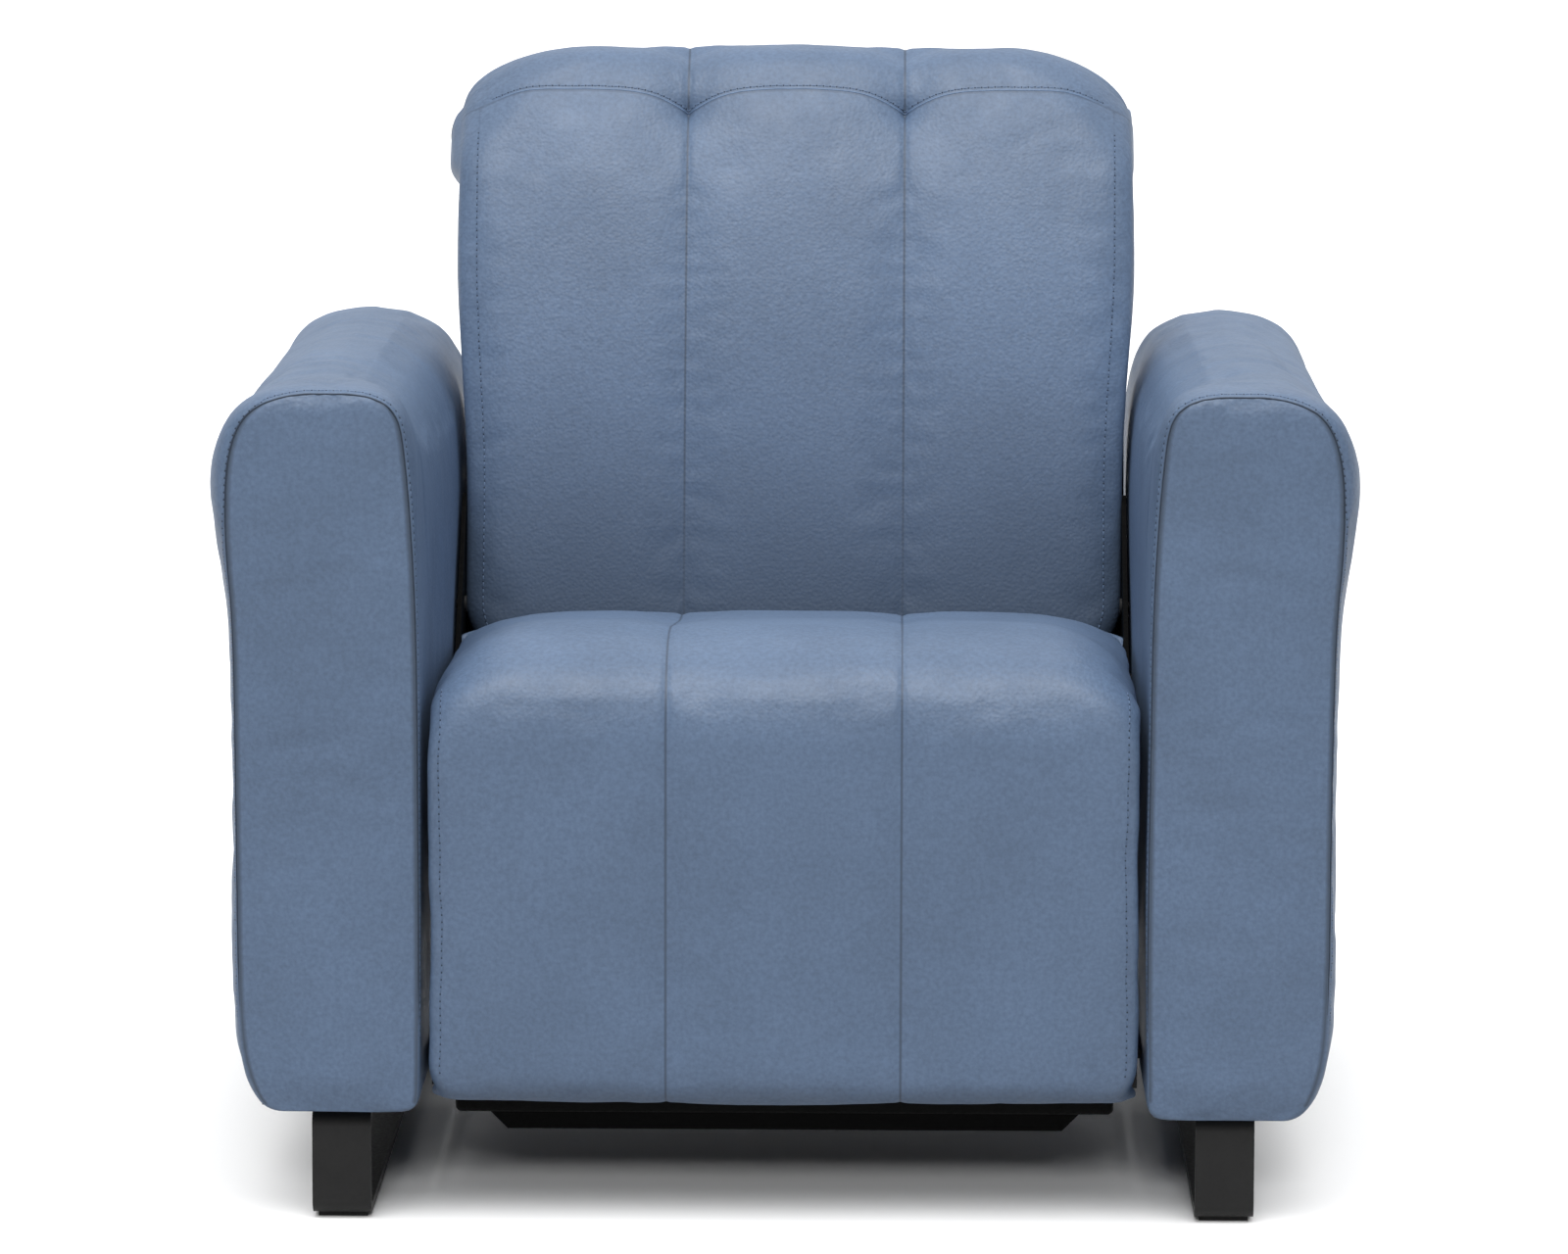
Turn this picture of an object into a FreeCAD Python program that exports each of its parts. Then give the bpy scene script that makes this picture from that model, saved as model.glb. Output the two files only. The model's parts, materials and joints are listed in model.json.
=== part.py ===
import FreeCAD, Part
import math
import os

V = FreeCAD.Vector

# Driving dimensions, mm. The front of the chair faces -Y, +Z is up, the floor is z = 0.
ARM_INNER = 292.0          # half of the gap between the arms
ARM_OUTER = 446.0
ARM_BULGE = 460.0
ARM_FRONT = -450.0
ARM_REAR = 400.0
ARM_BOTTOM = 92.0
ARM_TOP = 678.0
ARM_REAR_DROP = 12.0       # the arm top slopes down this much to the rear
LEG_X = 360.0              # centre of each flat-bar leg
LEG_WIDTH = 48.0
LEG_BAR = 8.0
LEG_FRONT = -440.0
LEG_REAR = 380.0
LEG_CORNER_R = 14.0
GLIDE = 4.0
GLIDE_HALF = 20.0

ARM_FRAME_X = (312.0, 426.0)     # hollow wooden box inside each arm cover
ARM_FRAME_Y = (-424.0, 376.0)
ARM_FRAME_TOP = 610.0
ARM_FRAME_WALL = 18.0
COVER_GAP = 0.5                  # between the wooden box and its cover

CUSHION_HALF = 287.0       # half width of seat and legrest
ORIGIN_Y = 29.8            # moves every piece to the rear so that the origin is mid-depth
SEAM_X = 94.0              # the two seams that part each cushion into three channels
SEAM_DEPTH = 9.0
SEAT_FRONT = -458.0
SEAT_TOP = 478.0
SEAT_SINK = 40.0           # the seat is this much lower at its rear than at its front edge
SEAT_REAR = 70.0
FOLD_Z = 395.0             # top edge of the legrest pad
PAD_BACK = -398.0
BOARD_BACK = -385.0

LEAN = 14.0                # lean of the back, degrees
BACK_HALF_LOW = 270.0
BACK_HALF_HIGH = 291.0
BACK_SEAM_Z = 462.0        # seam between back cushion and head roll, along the back
BACK_TOP = 548.0

# Pivots (y, z) with the chair closed.
HIP = (150.0, 380.0)             # seat to back
ARM_PIVOT = (139.0, 505.5)       # back to arm
FRONT_ARM_PIVOT = (-13.0, 347.5)   # front link to arm
FRONT_SEAT_PIVOT = (-2.0, 222.0)   # front link to seat
FOLD = (-441.0, 456.0)           # the line the legrest turns about
CRANK = (-250.0, 320.0)          # legrest crank on the seat
IDLER = (-140.0, 320.0)          # idler crank on the seat
UPPER_PIN = (-369.0, 336.0)      # upper link to legrest
LOWER_PIN = (-369.0, 266.0)      # lower link to legrest

# Steel plates lie in layers beside the arm, each from its inner to its outer x.
PIVOT_PLATE_X = (288.0, 292.0)
LINK_X = (280.0, 285.0)
SEAT_PLATE_X = (273.0, 278.0)
CRANK_X = (266.0, 271.0)
BAR_X = (259.0, 264.0)
PIN_R = 6.0
RUNNING_FIT = 0.05
TUBE_R = 11.0

BOLT_R = 4.0               # bolts into the arms
BOLT_HOLE_R = 4.1
SCREW_R = 3.0              # all other bolts and the leg screws
SCREW_HOLE_R = 3.1

FRAME_LOW = 352.0          # wooden seat frame
FRAME_HIGH = 392.0
RAIL_OUTER = 272.0
RAIL_INNER = 238.0

PLATE_BOLTS = [(15.0, 383.0), (88.0, 436.0), (60.0, 362.0)]
RAIL_BOLTS = [(-300.0, 114.0), (-40.0, 114.0), (220.0, 114.0)]
LEG_SCREW_Y = (-400.0, -150.0, 110.0, 340.0)

os.makedirs("parts", exist_ok=True)


def save(name, *shapes):
    shape = shapes[0] if len(shapes) == 1 else Part.makeCompound(list(shapes))
    shape = shape.copy()
    shape.translate(V(0, ORIGIN_Y, 0))
    shape.exportStep("parts/" + name + ".step")


def box(x0, x1, y0, y1, z0, z1):
    return Part.makeBox(x1 - x0, y1 - y0, z1 - z0, V(x0, y0, z0))


def rod_x(yz, radius, x0, x1):
    return Part.makeCylinder(radius, x1 - x0, V(x0, yz[0], yz[1]), V(1, 0, 0))


def rod_y(x, z, radius, y0, y1):
    return Part.makeCylinder(radius, y1 - y0, V(x, y0, z), V(0, 1, 0))


def rod_z(x, y, radius, z0, z1):
    return Part.makeCylinder(radius, z1 - z0, V(x, y, z0), V(0, 0, 1))


def fuse(shapes):
    joined = shapes[0].fuse(list(shapes[1:])) if len(shapes) > 1 else shapes[0]
    return joined.removeSplitter()


def mirrored(shape):
    return shape.mirror(V(0, 0, 0), V(1, 0, 0))


def save_pair(name, right):
    save("right_" + name, right)
    save("left_" + name, mirrored(right))


def added(a, b, sign=1.0):
    return (a[0] + sign * b[0], a[1] + sign * b[1])


# Offsets of the two crank pins: the same as from the fold line to the legrest's pins.
UPPER_ARM = added(UPPER_PIN, FOLD, -1.0)
LOWER_ARM = added(LOWER_PIN, FOLD, -1.0)


def capsule(a, b, radius, x0, x1):
    # Flat bar with round ends between two (y, z) points.
    length = math.hypot(b[0] - a[0], b[1] - a[1])
    bar = Part.makeBox(x1 - x0, length, 2 * radius, V(x0, 0, -radius))
    bar.rotate(V(0, 0, 0), V(1, 0, 0), math.degrees(math.atan2(b[1] - a[1], b[0] - a[0])))
    bar.translate(V(0, a[0], a[1]))
    return fuse([bar, rod_x(a, radius, x0, x1), rod_x(b, radius, x0, x1)])


def flat_bar(points, radius, x_layer):
    x0, x1 = x_layer
    return fuse([capsule(a, b, radius, x0, x1) for a, b in zip(points, points[1:])])


def plate(points, radius, x_layer):
    # Polygon plate in the YZ plane with rounded corners.
    x0, x1 = x_layer
    corners = [V(x0, y, z) for y, z in points]
    core = Part.Face(Part.makePolygon(corners + corners[:1])).extrude(V(x1 - x0, 0, 0))
    edges = [capsule(a, b, radius, x0, x1) for a, b in zip(points, points[1:] + points[:1])]
    return fuse([core] + edges)


def bored(shape, points, radius):
    for yz in points:
        shape = shape.cut(rod_x(yz, radius, -500, 500))
    return shape


def stud(yz, x_root, x_tip, head=9.0):
    # Riveted pin that points inward from a plate, with a thin head on its tip.
    shank = rod_x(yz, PIN_R, x_tip, x_root)
    return shank.fuse(rod_x(yz, head, x_tip - 2.0, x_tip))


def arc(a, b, c):
    return Part.Arc(a, b, c).toShape()


def line(a, b):
    return Part.makeLine(a, b)


# Arms: a hollow wooden frame in a padded leather cover, square at the foot and puffed at the top.

def arm_section(y, inset, top):
    # Closed outline of the right arm at one y, drawn in by inset.
    def p(x, z):
        middle = 369.0
        return V(x - inset if x > middle else x + inset, y, z)
    low = ARM_BOTTOM
    high = top - inset
    return Part.Wire([
        line(p(ARM_INNER + 8, low), p(426, low)),
        arc(p(426, low), p(437, low + 5), p(441, low + 18)),
        line(p(441, low + 18), p(ARM_OUTER, 480)),
        arc(p(ARM_OUTER, 480), p(455, 522), p(ARM_BULGE, 575)),
        arc(p(ARM_BULGE, 575), p(458, high - 65), p(450, high - 36)),
        arc(p(450, high - 36), p(437, high - 14), p(412, high)),
        line(p(412, high), p(345, high)),
        arc(p(345, high), p(318, high - 9), p(303, high - 34)),
        arc(p(303, high - 34), p(298, high - 56), p(296, 592)),
        line(p(296, 592), p(ARM_INNER, 520)),
        line(p(ARM_INNER, 520), p(ARM_INNER, low + 8)),
        line(p(ARM_INNER, low + 8), p(ARM_INNER + 8, low)),
    ])


def arm_cover():
    stations = [
        (ARM_FRONT, 9.0, 0.0),
        (ARM_FRONT + 5, 3.0, 0.0),
        (ARM_FRONT + 18, 0.0, 0.0),
        (-150.0, 0.0, 0.25 * ARM_REAR_DROP),
        (150.0, 0.0, 0.6 * ARM_REAR_DROP),
        (ARM_REAR - 18, 0.0, ARM_REAR_DROP),
        (ARM_REAR - 5, 3.0, ARM_REAR_DROP + 1),
        (ARM_REAR, 9.0, ARM_REAR_DROP + 3),
    ]
    sections = [arm_section(y, inset, ARM_TOP - drop) for y, inset, drop in stations]
    shape = Part.makeLoft(sections, True, True)
    shape = shape.cut(box(ARM_FRAME_X[0] - COVER_GAP, ARM_FRAME_X[1] + COVER_GAP,
                          ARM_FRAME_Y[0] - COVER_GAP, ARM_FRAME_Y[1] + COVER_GAP,
                          ARM_BOTTOM - 2, ARM_FRAME_TOP + COVER_GAP))
    for y, z in PLATE_BOLTS + RAIL_BOLTS:
        shape = shape.cut(rod_x((y, z), BOLT_HOLE_R + COVER_GAP, ARM_INNER - 7, ARM_FRAME_X[0] + 3))
    return shape


def arm_frame():
    (x0, x1), (y0, y1), wall = ARM_FRAME_X, ARM_FRAME_Y, ARM_FRAME_WALL
    shape = box(x0, x1, y0, y1, ARM_BOTTOM, ARM_FRAME_TOP)
    shape = shape.cut(box(x0 + wall, x1 - wall, y0 + wall, y1 - wall,
                          ARM_BOTTOM + wall, ARM_FRAME_TOP - wall))
    for y, z in PLATE_BOLTS + RAIL_BOLTS:
        shape = shape.cut(rod_x((y, z), BOLT_HOLE_R, x0 - 7, x0 + 16))
    for y in LEG_SCREW_Y:
        shape = shape.cut(rod_z(LEG_X, y, SCREW_HOLE_R, ARM_BOTTOM - 2, ARM_BOTTOM + 15))
    return shape


cover = arm_cover()
save("right_arm_cover", cover)
left_cover = mirrored(cover)
SWITCH_Y = (-300.0, -216.0)
SWITCH_Z = 440.0
switch_pocket = box(-470, -425, SWITCH_Y[0] + 3.5, SWITCH_Y[1] - 3.5, SWITCH_Z - 17.5, SWITCH_Z + 17.5)
save("left_arm_cover", left_cover.cut(switch_pocket))
save_pair("arm_frame", arm_frame())


# Sled legs: one closed loop of flat bar under each arm, on four thin glides.

def rounded_loop(x0, x1, y0, y1, z0, z1, radius):
    block = box(x0, x1, y0, y1, z0, z1)
    corners = [e for e in block.Edges
               if abs(e.Vertexes[0].X - e.Vertexes[1].X) > 1.0]
    return block.makeFillet(radius, corners)


def sled_leg():
    x0 = LEG_X - LEG_WIDTH / 2
    x1 = LEG_X + LEG_WIDTH / 2
    outer = rounded_loop(x0, x1, LEG_FRONT, LEG_REAR, GLIDE, ARM_BOTTOM, LEG_CORNER_R)
    inner = rounded_loop(x0 - 1, x1 + 1, LEG_FRONT + LEG_BAR, LEG_REAR - LEG_BAR,
                         GLIDE + LEG_BAR, ARM_BOTTOM - LEG_BAR, LEG_CORNER_R - LEG_BAR)
    loop = outer.cut(inner)
    for y in LEG_SCREW_Y:
        loop = loop.cut(rod_z(LEG_X, y, SCREW_R + 0.3, ARM_BOTTOM - LEG_BAR - 1, ARM_BOTTOM + 1))
    return loop


save_pair("sled_leg", sled_leg())
glides = []
screws = []
for side in (-1, 1):
    x = side * LEG_X
    for y in (LEG_FRONT + 35, LEG_REAR - 35):
        glides.append(box(x - GLIDE_HALF, x + GLIDE_HALF, y - GLIDE_HALF, y + GLIDE_HALF, 0, GLIDE))
    for y in LEG_SCREW_Y:
        head = rod_z(x, y, 2 * SCREW_R, ARM_BOTTOM - LEG_BAR - 3, ARM_BOTTOM - LEG_BAR)
        screws.append(head.fuse(rod_z(x, y, SCREW_R, ARM_BOTTOM - LEG_BAR, ARM_BOTTOM + 14)))
save("leg_glides", *glides)
save("leg_screws", *screws)


# Steel between the arms: side rails, the front cross tube with its guard plate, and the rear panel.

TUBE_Y = -362.0
TUBE_Z = 88.0
CROSS_R = 13.0
CROSS_HALF = 271.0
RAIL_X = (284.0, 290.0)
GUARD_HALF = 246.0
GUARD_Z = (58.0, 86.0)
GUARD_THICK = 4.0
PANEL_Y = (378.0, 396.0)
PANEL_Z = (96.0, 330.0)

rail = fuse([
    box(RAIL_X[0], RAIL_X[1], TUBE_Y - 14, PANEL_Y[0], 100, 128),
    box(252, RAIL_X[0], TUBE_Y - 14, TUBE_Y + 14, TUBE_Z + CROSS_R, TUBE_Z + CROSS_R + 4),
])
save_pair("base_rail", bored(rail, RAIL_BOLTS, BOLT_HOLE_R))

front_tube = rod_x((TUBE_Y, TUBE_Z), CROSS_R, -CROSS_HALF, CROSS_HALF)
front_tube = front_tube.makeFillet(5.0, front_tube.Edges)
GUARD_BOLT_X = (-260.0, -224.0, 224.0, 260.0)
bolts = []
for x in GUARD_BOLT_X:
    front_tube = front_tube.cut(rod_y(x, TUBE_Z, SCREW_HOLE_R, TUBE_Y - 20, TUBE_Y + 6))
    head = rod_y(x, TUBE_Z, 5.5, TUBE_Y - CROSS_R - 3, TUBE_Y - CROSS_R)
    bolts.append(head.fuse(rod_y(x, TUBE_Z, SCREW_R, TUBE_Y - CROSS_R, TUBE_Y + 5)))
save("front_cross_tube", front_tube)
save("guard_plate_bolts", *bolts)

CHAMFER = 17.0
guard_outline = [
    (-GUARD_HALF, GUARD_Z[1]), (-GUARD_HALF, GUARD_Z[0] + CHAMFER), (-GUARD_HALF + CHAMFER, GUARD_Z[0]),
    (GUARD_HALF - CHAMFER, GUARD_Z[0]), (GUARD_HALF, GUARD_Z[0] + CHAMFER), (GUARD_HALF, GUARD_Z[1]),
]
corners = [V(x, TUBE_Y + CROSS_R, z) for x, z in guard_outline]
guard = Part.Face(Part.makePolygon(corners + corners[:1]))
save("front_guard_plate", guard.extrude(V(0, GUARD_THICK, 0)))

INLET_X = -110.0
INLET_Z = 180.0
INLET_R = 10.0
rear_panel = box(-290, 290, PANEL_Y[0], PANEL_Y[1], PANEL_Z[0], PANEL_Z[1])
rear_panel = rear_panel.makeFillet(6.0, [e for e in rear_panel.Edges
                                        if min(v.Z for v in e.Vertexes) > PANEL_Z[1] - 1
                                        and abs(e.Vertexes[0].X - e.Vertexes[1].X) > 1])
save("rear_panel", rear_panel.cut(rod_y(INLET_X, INLET_Z, INLET_R + 0.2, PANEL_Y[0] - 8, PANEL_Y[1] + 4)))

CONTROL_FRONT = PANEL_Y[0] - 40
control = box(-190, -40, CONTROL_FRONT, PANEL_Y[0], 140, 215)
control = control.makeFillet(4.0, [e for e in control.Edges
                                   if max(v.Y for v in e.Vertexes) < CONTROL_FRONT + 1])
save("control_box", control)

inlet = rod_y(INLET_X, INLET_Z, INLET_R, PANEL_Y[0], PANEL_Y[1])
inlet = inlet.fuse(rod_y(INLET_X, INLET_Z, INLET_R + 3, PANEL_Y[1], PANEL_Y[1] + 3))
inlet = inlet.cut(rod_y(INLET_X, INLET_Z, 4.5, PANEL_Y[0] + 6, PANEL_Y[1] + 4))
save("power_inlet", inlet.fuse(rod_y(INLET_X, INLET_Z, 1.2, PANEL_Y[0] + 5, PANEL_Y[1])))

pivot_plate = plate([FRONT_ARM_PIVOT, (118.0, 352.0), ARM_PIVOT], 22.0, PIVOT_PLATE_X)
pivot_plate = bored(pivot_plate, PLATE_BOLTS, BOLT_HOLE_R)
pivot_plate = fuse([pivot_plate] + [rod_x(yz, PIN_R, LINK_X[0] - 0.5, PIVOT_PLATE_X[0])
                                    for yz in (ARM_PIVOT, FRONT_ARM_PIVOT)])
save_pair("pivot_plate", pivot_plate)


def bolt_pair(yz, seat_x, head_r, head_height, shank_r, tip_x):
    # The same bolt on both sides: its shank runs from seat_x to tip_x, its head lies the other way.
    head_x = (seat_x - head_height, seat_x) if tip_x > seat_x else (seat_x, seat_x + head_height)
    shank_x = sorted((seat_x, tip_x))
    bolt = rod_x(yz, head_r, *head_x).fuse(rod_x(yz, shank_r, *shank_x))
    return [bolt, mirrored(bolt)]


ARM_BOLT_TIP = 326.0
arm_bolts = []
for yz in PLATE_BOLTS:
    arm_bolts += bolt_pair(yz, PIVOT_PLATE_X[0], 7.0, 2.0, BOLT_R, ARM_BOLT_TIP)
for yz in RAIL_BOLTS:
    arm_bolts += bolt_pair(yz, RAIL_X[0], 7.0, 3.0, BOLT_R, ARM_BOLT_TIP)
save("arm_bolts", *arm_bolts)


# Two rocker switches in one housing, on the outer face of the left arm.

housing = box(-ARM_OUTER - 3, -ARM_OUTER - 0.5, SWITCH_Y[0], SWITCH_Y[1], SWITCH_Z - 21, SWITCH_Z + 21)
housing = housing.fuse(box(-ARM_OUTER - 0.5, -428.5, SWITCH_Y[0] + 4, SWITCH_Y[1] - 4,
                           SWITCH_Z - 17, SWITCH_Z + 17))
ROCKER_AXIS_X = -443.0
ROCKER_HALF_Y = 14.0
ROCKER_HALF_Z = 11.0
AXLE_R = 1.5
for name, centre in (("legrest_rocker", -277.0), ("recline_rocker", -239.0)):
    window = ROCKER_HALF_Y + 1
    housing = housing.cut(box(-451, -435, centre - window, centre + window,
                              SWITCH_Z - ROCKER_HALF_Z - 2.5, SWITCH_Z + ROCKER_HALF_Z + 2.5))
    housing = housing.cut(rod_y(ROCKER_AXIS_X, SWITCH_Z, AXLE_R + RUNNING_FIT, centre - 17.1, centre + 17.1))
    rocker = box(-451.5, -438, centre - ROCKER_HALF_Y, centre + ROCKER_HALF_Y,
                 SWITCH_Z - ROCKER_HALF_Z, SWITCH_Z + ROCKER_HALF_Z)
    rocker = rocker.cut(rod_y(-472.0, SWITCH_Z, 22.0, centre - window, centre + window))
    save(name, rocker.fuse(rod_y(ROCKER_AXIS_X, SWITCH_Z, AXLE_R, centre - 17, centre + 17)))
save("switch_housing", housing.removeSplitter())


# Front links: left and right bars on one torque tube, hung from the pivot plates.

front_link = flat_bar([FRONT_ARM_PIVOT, FRONT_SEAT_PIVOT], 16.0, LINK_X)
front_link = bored(front_link, [FRONT_ARM_PIVOT], PIN_R + RUNNING_FIT)
save_pair("front_link", bored(front_link, [FRONT_SEAT_PIVOT], TUBE_R))
FRONT_TUBE_HALF = 286.5
save("front_link_tube", rod_x(FRONT_SEAT_PIVOT, TUBE_R, -FRONT_TUBE_HALF, FRONT_TUBE_HALF))


# Seat: wooden frame, springs, cushion, steel side plates and two gearmotors.

SEAT_FRAME_Y = (-378.0, 68.0)
CROSS_RAIL_WIDTH = 40.0
SEAT_BOLTS = [(-272.0, 374.0), (-170.0, 374.0), (-80.0, 374.0)]
side_rail = bored(box(RAIL_INNER, RAIL_OUTER, *SEAT_FRAME_Y, FRAME_LOW, FRAME_HIGH), SEAT_BOLTS, SCREW_HOLE_R)
save("seat_side_rails", mirrored(side_rail), side_rail)
save("seat_cross_rails", *[box(-RAIL_INNER, RAIL_INNER, y0, y0 + CROSS_RAIL_WIDTH, FRAME_LOW, FRAME_HIGH)
                           for y0 in (SEAT_FRAME_Y[0], -270.0, SEAT_FRAME_Y[1] - CROSS_RAIL_WIDTH)])

seat_plate = plate([(-272.0, 374.0), HIP, (0.0, 300.0), FRONT_SEAT_PIVOT, (-60.0, 300.0), IDLER, CRANK],
                   15.0, SEAT_PLATE_X)
seat_plate = bored(seat_plate, SEAT_BOLTS, SCREW_HOLE_R)
seat_plate = bored(seat_plate, [CRANK, FRONT_SEAT_PIVOT], TUBE_R + RUNNING_FIT)
hip_pin = rod_x(HIP, PIN_R, SEAT_PLATE_X[1], LINK_X[1] + 1.5)
seat_plate = fuse([seat_plate, hip_pin, stud(IDLER, SEAT_PLATE_X[0], CRANK_X[0] - 0.5)])
save_pair("seat_plate", seat_plate)

plate_bolts = []
for yz in SEAT_BOLTS:
    plate_bolts += bolt_pair(yz, SEAT_PLATE_X[1], 6.0, 2.0, SCREW_R, 250.0)
save("seat_plate_bolts", *plate_bolts)


def zigzag_spring(x, first_y, last_y):
    # Flat sinuous wire: straight runs across, joined by half turns.
    wire_r = 1.8
    reach = 20.0
    turns = 14
    step = (last_y - first_y) / turns
    z = FRAME_HIGH + wire_r + 0.5
    edges = []
    side = 1
    for i in range(turns):
        y = first_y + i * step
        a = V(x - side * reach, y, z)
        b = V(x + side * reach, y, z)
        edges.append(line(a, b))
        c = V(x + side * reach, y + step, z)
        edges.append(arc(b, V(x + side * (reach + step / 2), y + step / 2, z), c))
        side = -side
    edges.append(line(V(x - side * reach, last_y, z), V(x + side * reach, last_y, z)))
    path = Part.Wire(edges)
    profile = Part.Wire(Part.makeCircle(wire_r, V(x - reach, first_y, z), V(1, 0, 0)))
    return path.makePipeShell([profile], True, True)


SPRING_X = (-190.0, -95.0, 0.0, 95.0, 190.0)
save("seat_springs", *[zigzag_spring(x, -360.0, 50.0) for x in SPRING_X])
clips = []
for x in SPRING_X:
    for y in (-370.0, 56.0):
        clips.append(box(x - 12, x + 12, y - 4, y + 4, FRAME_HIGH, FRAME_HIGH + 4.3))
save("spring_clips", *clips)


def seat_section(x, inset):
    # Side outline of the seat cushion at one x: a rolled front edge, a soft crown, a rounded rear.
    front = SEAT_FRONT + inset
    top = SEAT_TOP - inset
    rear_top = top - SEAT_SINK

    def p(y, z):
        return V(x, y, z)
    under = FRAME_HIGH + 5.5
    return Part.Wire([
        arc(p(front + 3, 400), p(front, 422), p(front + 3, top - 33)),
        arc(p(front + 3, top - 33), p(front + 16, top - 10), p(front + 48, top - 2)),
        arc(p(front + 48, top - 2), p(-200, top - 0.3 * SEAT_SINK), p(SEAT_REAR - 24, rear_top)),
        arc(p(SEAT_REAR - 24, rear_top), p(SEAT_REAR - 7, rear_top - 7), p(SEAT_REAR, rear_top - 24)),
        line(p(SEAT_REAR, rear_top - 24), p(SEAT_REAR, under)),
        line(p(SEAT_REAR, under), p(-376, under)),
        line(p(-376, under), p(-380, 400)),
        line(p(-380, 400), p(front + 3, 400)),
    ])


def channels(section, half):
    # Three bays between the seams, each swelling from its seams and rounded at the outer ends.
    end_inset = 15.0
    middle = [(-SEAM_X, SEAM_DEPTH), (-0.75 * SEAM_X, 3.0), (0.0, 0.0),
              (0.75 * SEAM_X, 3.0), (SEAM_X, SEAM_DEPTH)]
    width = half - SEAM_X
    outer = [(SEAM_X, SEAM_DEPTH), (SEAM_X + 0.12 * width, 3.0), (SEAM_X + 0.5 * width, 0.0),
             (SEAM_X + 0.9 * width, 3.5), (half, end_inset)]
    bays = []
    for stations in (middle, outer):
        bays.append(Part.makeLoft([section(x, inset) for x, inset in stations], True, False))
    return fuse(bays + [mirrored(bays[1])])


save("seat_cushion", channels(seat_section, CUSHION_HALF))


def gear_housing(yz, x0, x1, size):
    y, z = yz
    block = box(x0, x1, y - size, y + size, z - size, z + size)
    return block.makeFillet(10.0, [e for e in block.Edges
                                  if abs(e.Vertexes[0].X - e.Vertexes[1].X) > 1])


GEARBOX_X = (-42.0, 12.0)
GEARBOX_HALF = 29.0
MOTOR_X = -15.0
MOTOR_R = 21.0
legrest_motor = fuse([
    gear_housing(CRANK, *GEARBOX_X, GEARBOX_HALF),
    box(GEARBOX_X[0] + 2, GEARBOX_X[1] - 2, -268, -232, 330, FRAME_LOW),
    rod_y(MOTOR_X, CRANK[1] - 2, MOTOR_R, -225, -125),
])
save("legrest_motor", bored(legrest_motor, [CRANK], TUBE_R + RUNNING_FIT))
recline_motor = fuse([
    gear_housing(FRONT_SEAT_PIVOT, *GEARBOX_X, GEARBOX_HALF),
    box(GEARBOX_X[0] + 2, GEARBOX_X[1] - 2, 6, 60, 240, FRAME_LOW),
    rod_y(MOTOR_X, FRONT_SEAT_PIVOT[1], MOTOR_R, -135, -20),
])
save("recline_motor", bored(recline_motor, [FRONT_SEAT_PIVOT], TUBE_R + RUNNING_FIT))


# Legrest linkage: cranks and idlers on the seat, two bars a side to the legrest.

crank = flat_bar([CRANK, added(CRANK, UPPER_ARM), added(CRANK, LOWER_ARM)], 14.0, CRANK_X)
crank = crank.fuse(rod_x(CRANK, 18, *CRANK_X))
STUD_TIP = BAR_X[0] - 0.5
crank = fuse([bored(crank, [CRANK], TUBE_R),
              stud(added(CRANK, UPPER_ARM), CRANK_X[0], STUD_TIP),
              stud(added(CRANK, LOWER_ARM), CRANK_X[0], STUD_TIP)])
save_pair("legrest_crank", crank)
LEGREST_TUBE_HALF = SEAT_PLATE_X[1] + 1.0
save("legrest_torque_tube", rod_x(CRANK, TUBE_R, -LEGREST_TUBE_HALF, LEGREST_TUBE_HALF))

idler = bored(flat_bar([IDLER, added(IDLER, UPPER_ARM)], 14.0, CRANK_X), [IDLER], PIN_R + RUNNING_FIT)
save_pair("idler_crank", fuse([idler, stud(added(IDLER, UPPER_ARM), CRANK_X[0], STUD_TIP)]))

upper_pins = [UPPER_PIN, added(CRANK, UPPER_ARM), added(IDLER, UPPER_ARM)]
upper_link = flat_bar(upper_pins, 12.0, BAR_X)
save_pair("upper_link", bored(upper_link, upper_pins, PIN_R + RUNNING_FIT))
lower_pins = [LOWER_PIN, added(CRANK, LOWER_ARM)]
save_pair("lower_link", bored(flat_bar(lower_pins, 12.0, BAR_X), lower_pins, PIN_R + RUNNING_FIT))

BOARD_HALF = 284.0
BRACKET_Z = (250.0, 346.0)
SCREW_X = 277.5
SCREW_Z = (262.0, 330.0)
WOOD_SCREW_R = 2.0
bracket = fuse([
    box(*CRANK_X, BOARD_BACK, UPPER_PIN[0], *BRACKET_Z),
    box(CRANK_X[0], BOARD_HALF, BOARD_BACK, BOARD_BACK + 4, *BRACKET_Z),
    flat_bar([UPPER_PIN, LOWER_PIN], 12.0, CRANK_X),
    stud(UPPER_PIN, CRANK_X[0], STUD_TIP),
    stud(LOWER_PIN, CRANK_X[0], STUD_TIP),
])
board = box(-BOARD_HALF, BOARD_HALF, BOARD_BACK - 12, BOARD_BACK, 118, 388)
screws = []
for z in SCREW_Z:
    bracket = bracket.cut(rod_y(SCREW_X, z, WOOD_SCREW_R + 0.1, BOARD_BACK - 1, BOARD_BACK + 5))
    for x in (-SCREW_X, SCREW_X):
        board = board.cut(rod_y(x, z, WOOD_SCREW_R + 0.1, BOARD_BACK - 10, BOARD_BACK + 1))
        head = rod_y(x, z, 4.5, BOARD_BACK + 4, BOARD_BACK + 6)
        screws.append(head.fuse(rod_y(x, z, WOOD_SCREW_R, BOARD_BACK - 9, BOARD_BACK + 4)))
save_pair("legrest_bracket", bracket)
save("legrest_board", board)
save("legrest_bracket_screws", *screws)


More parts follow.
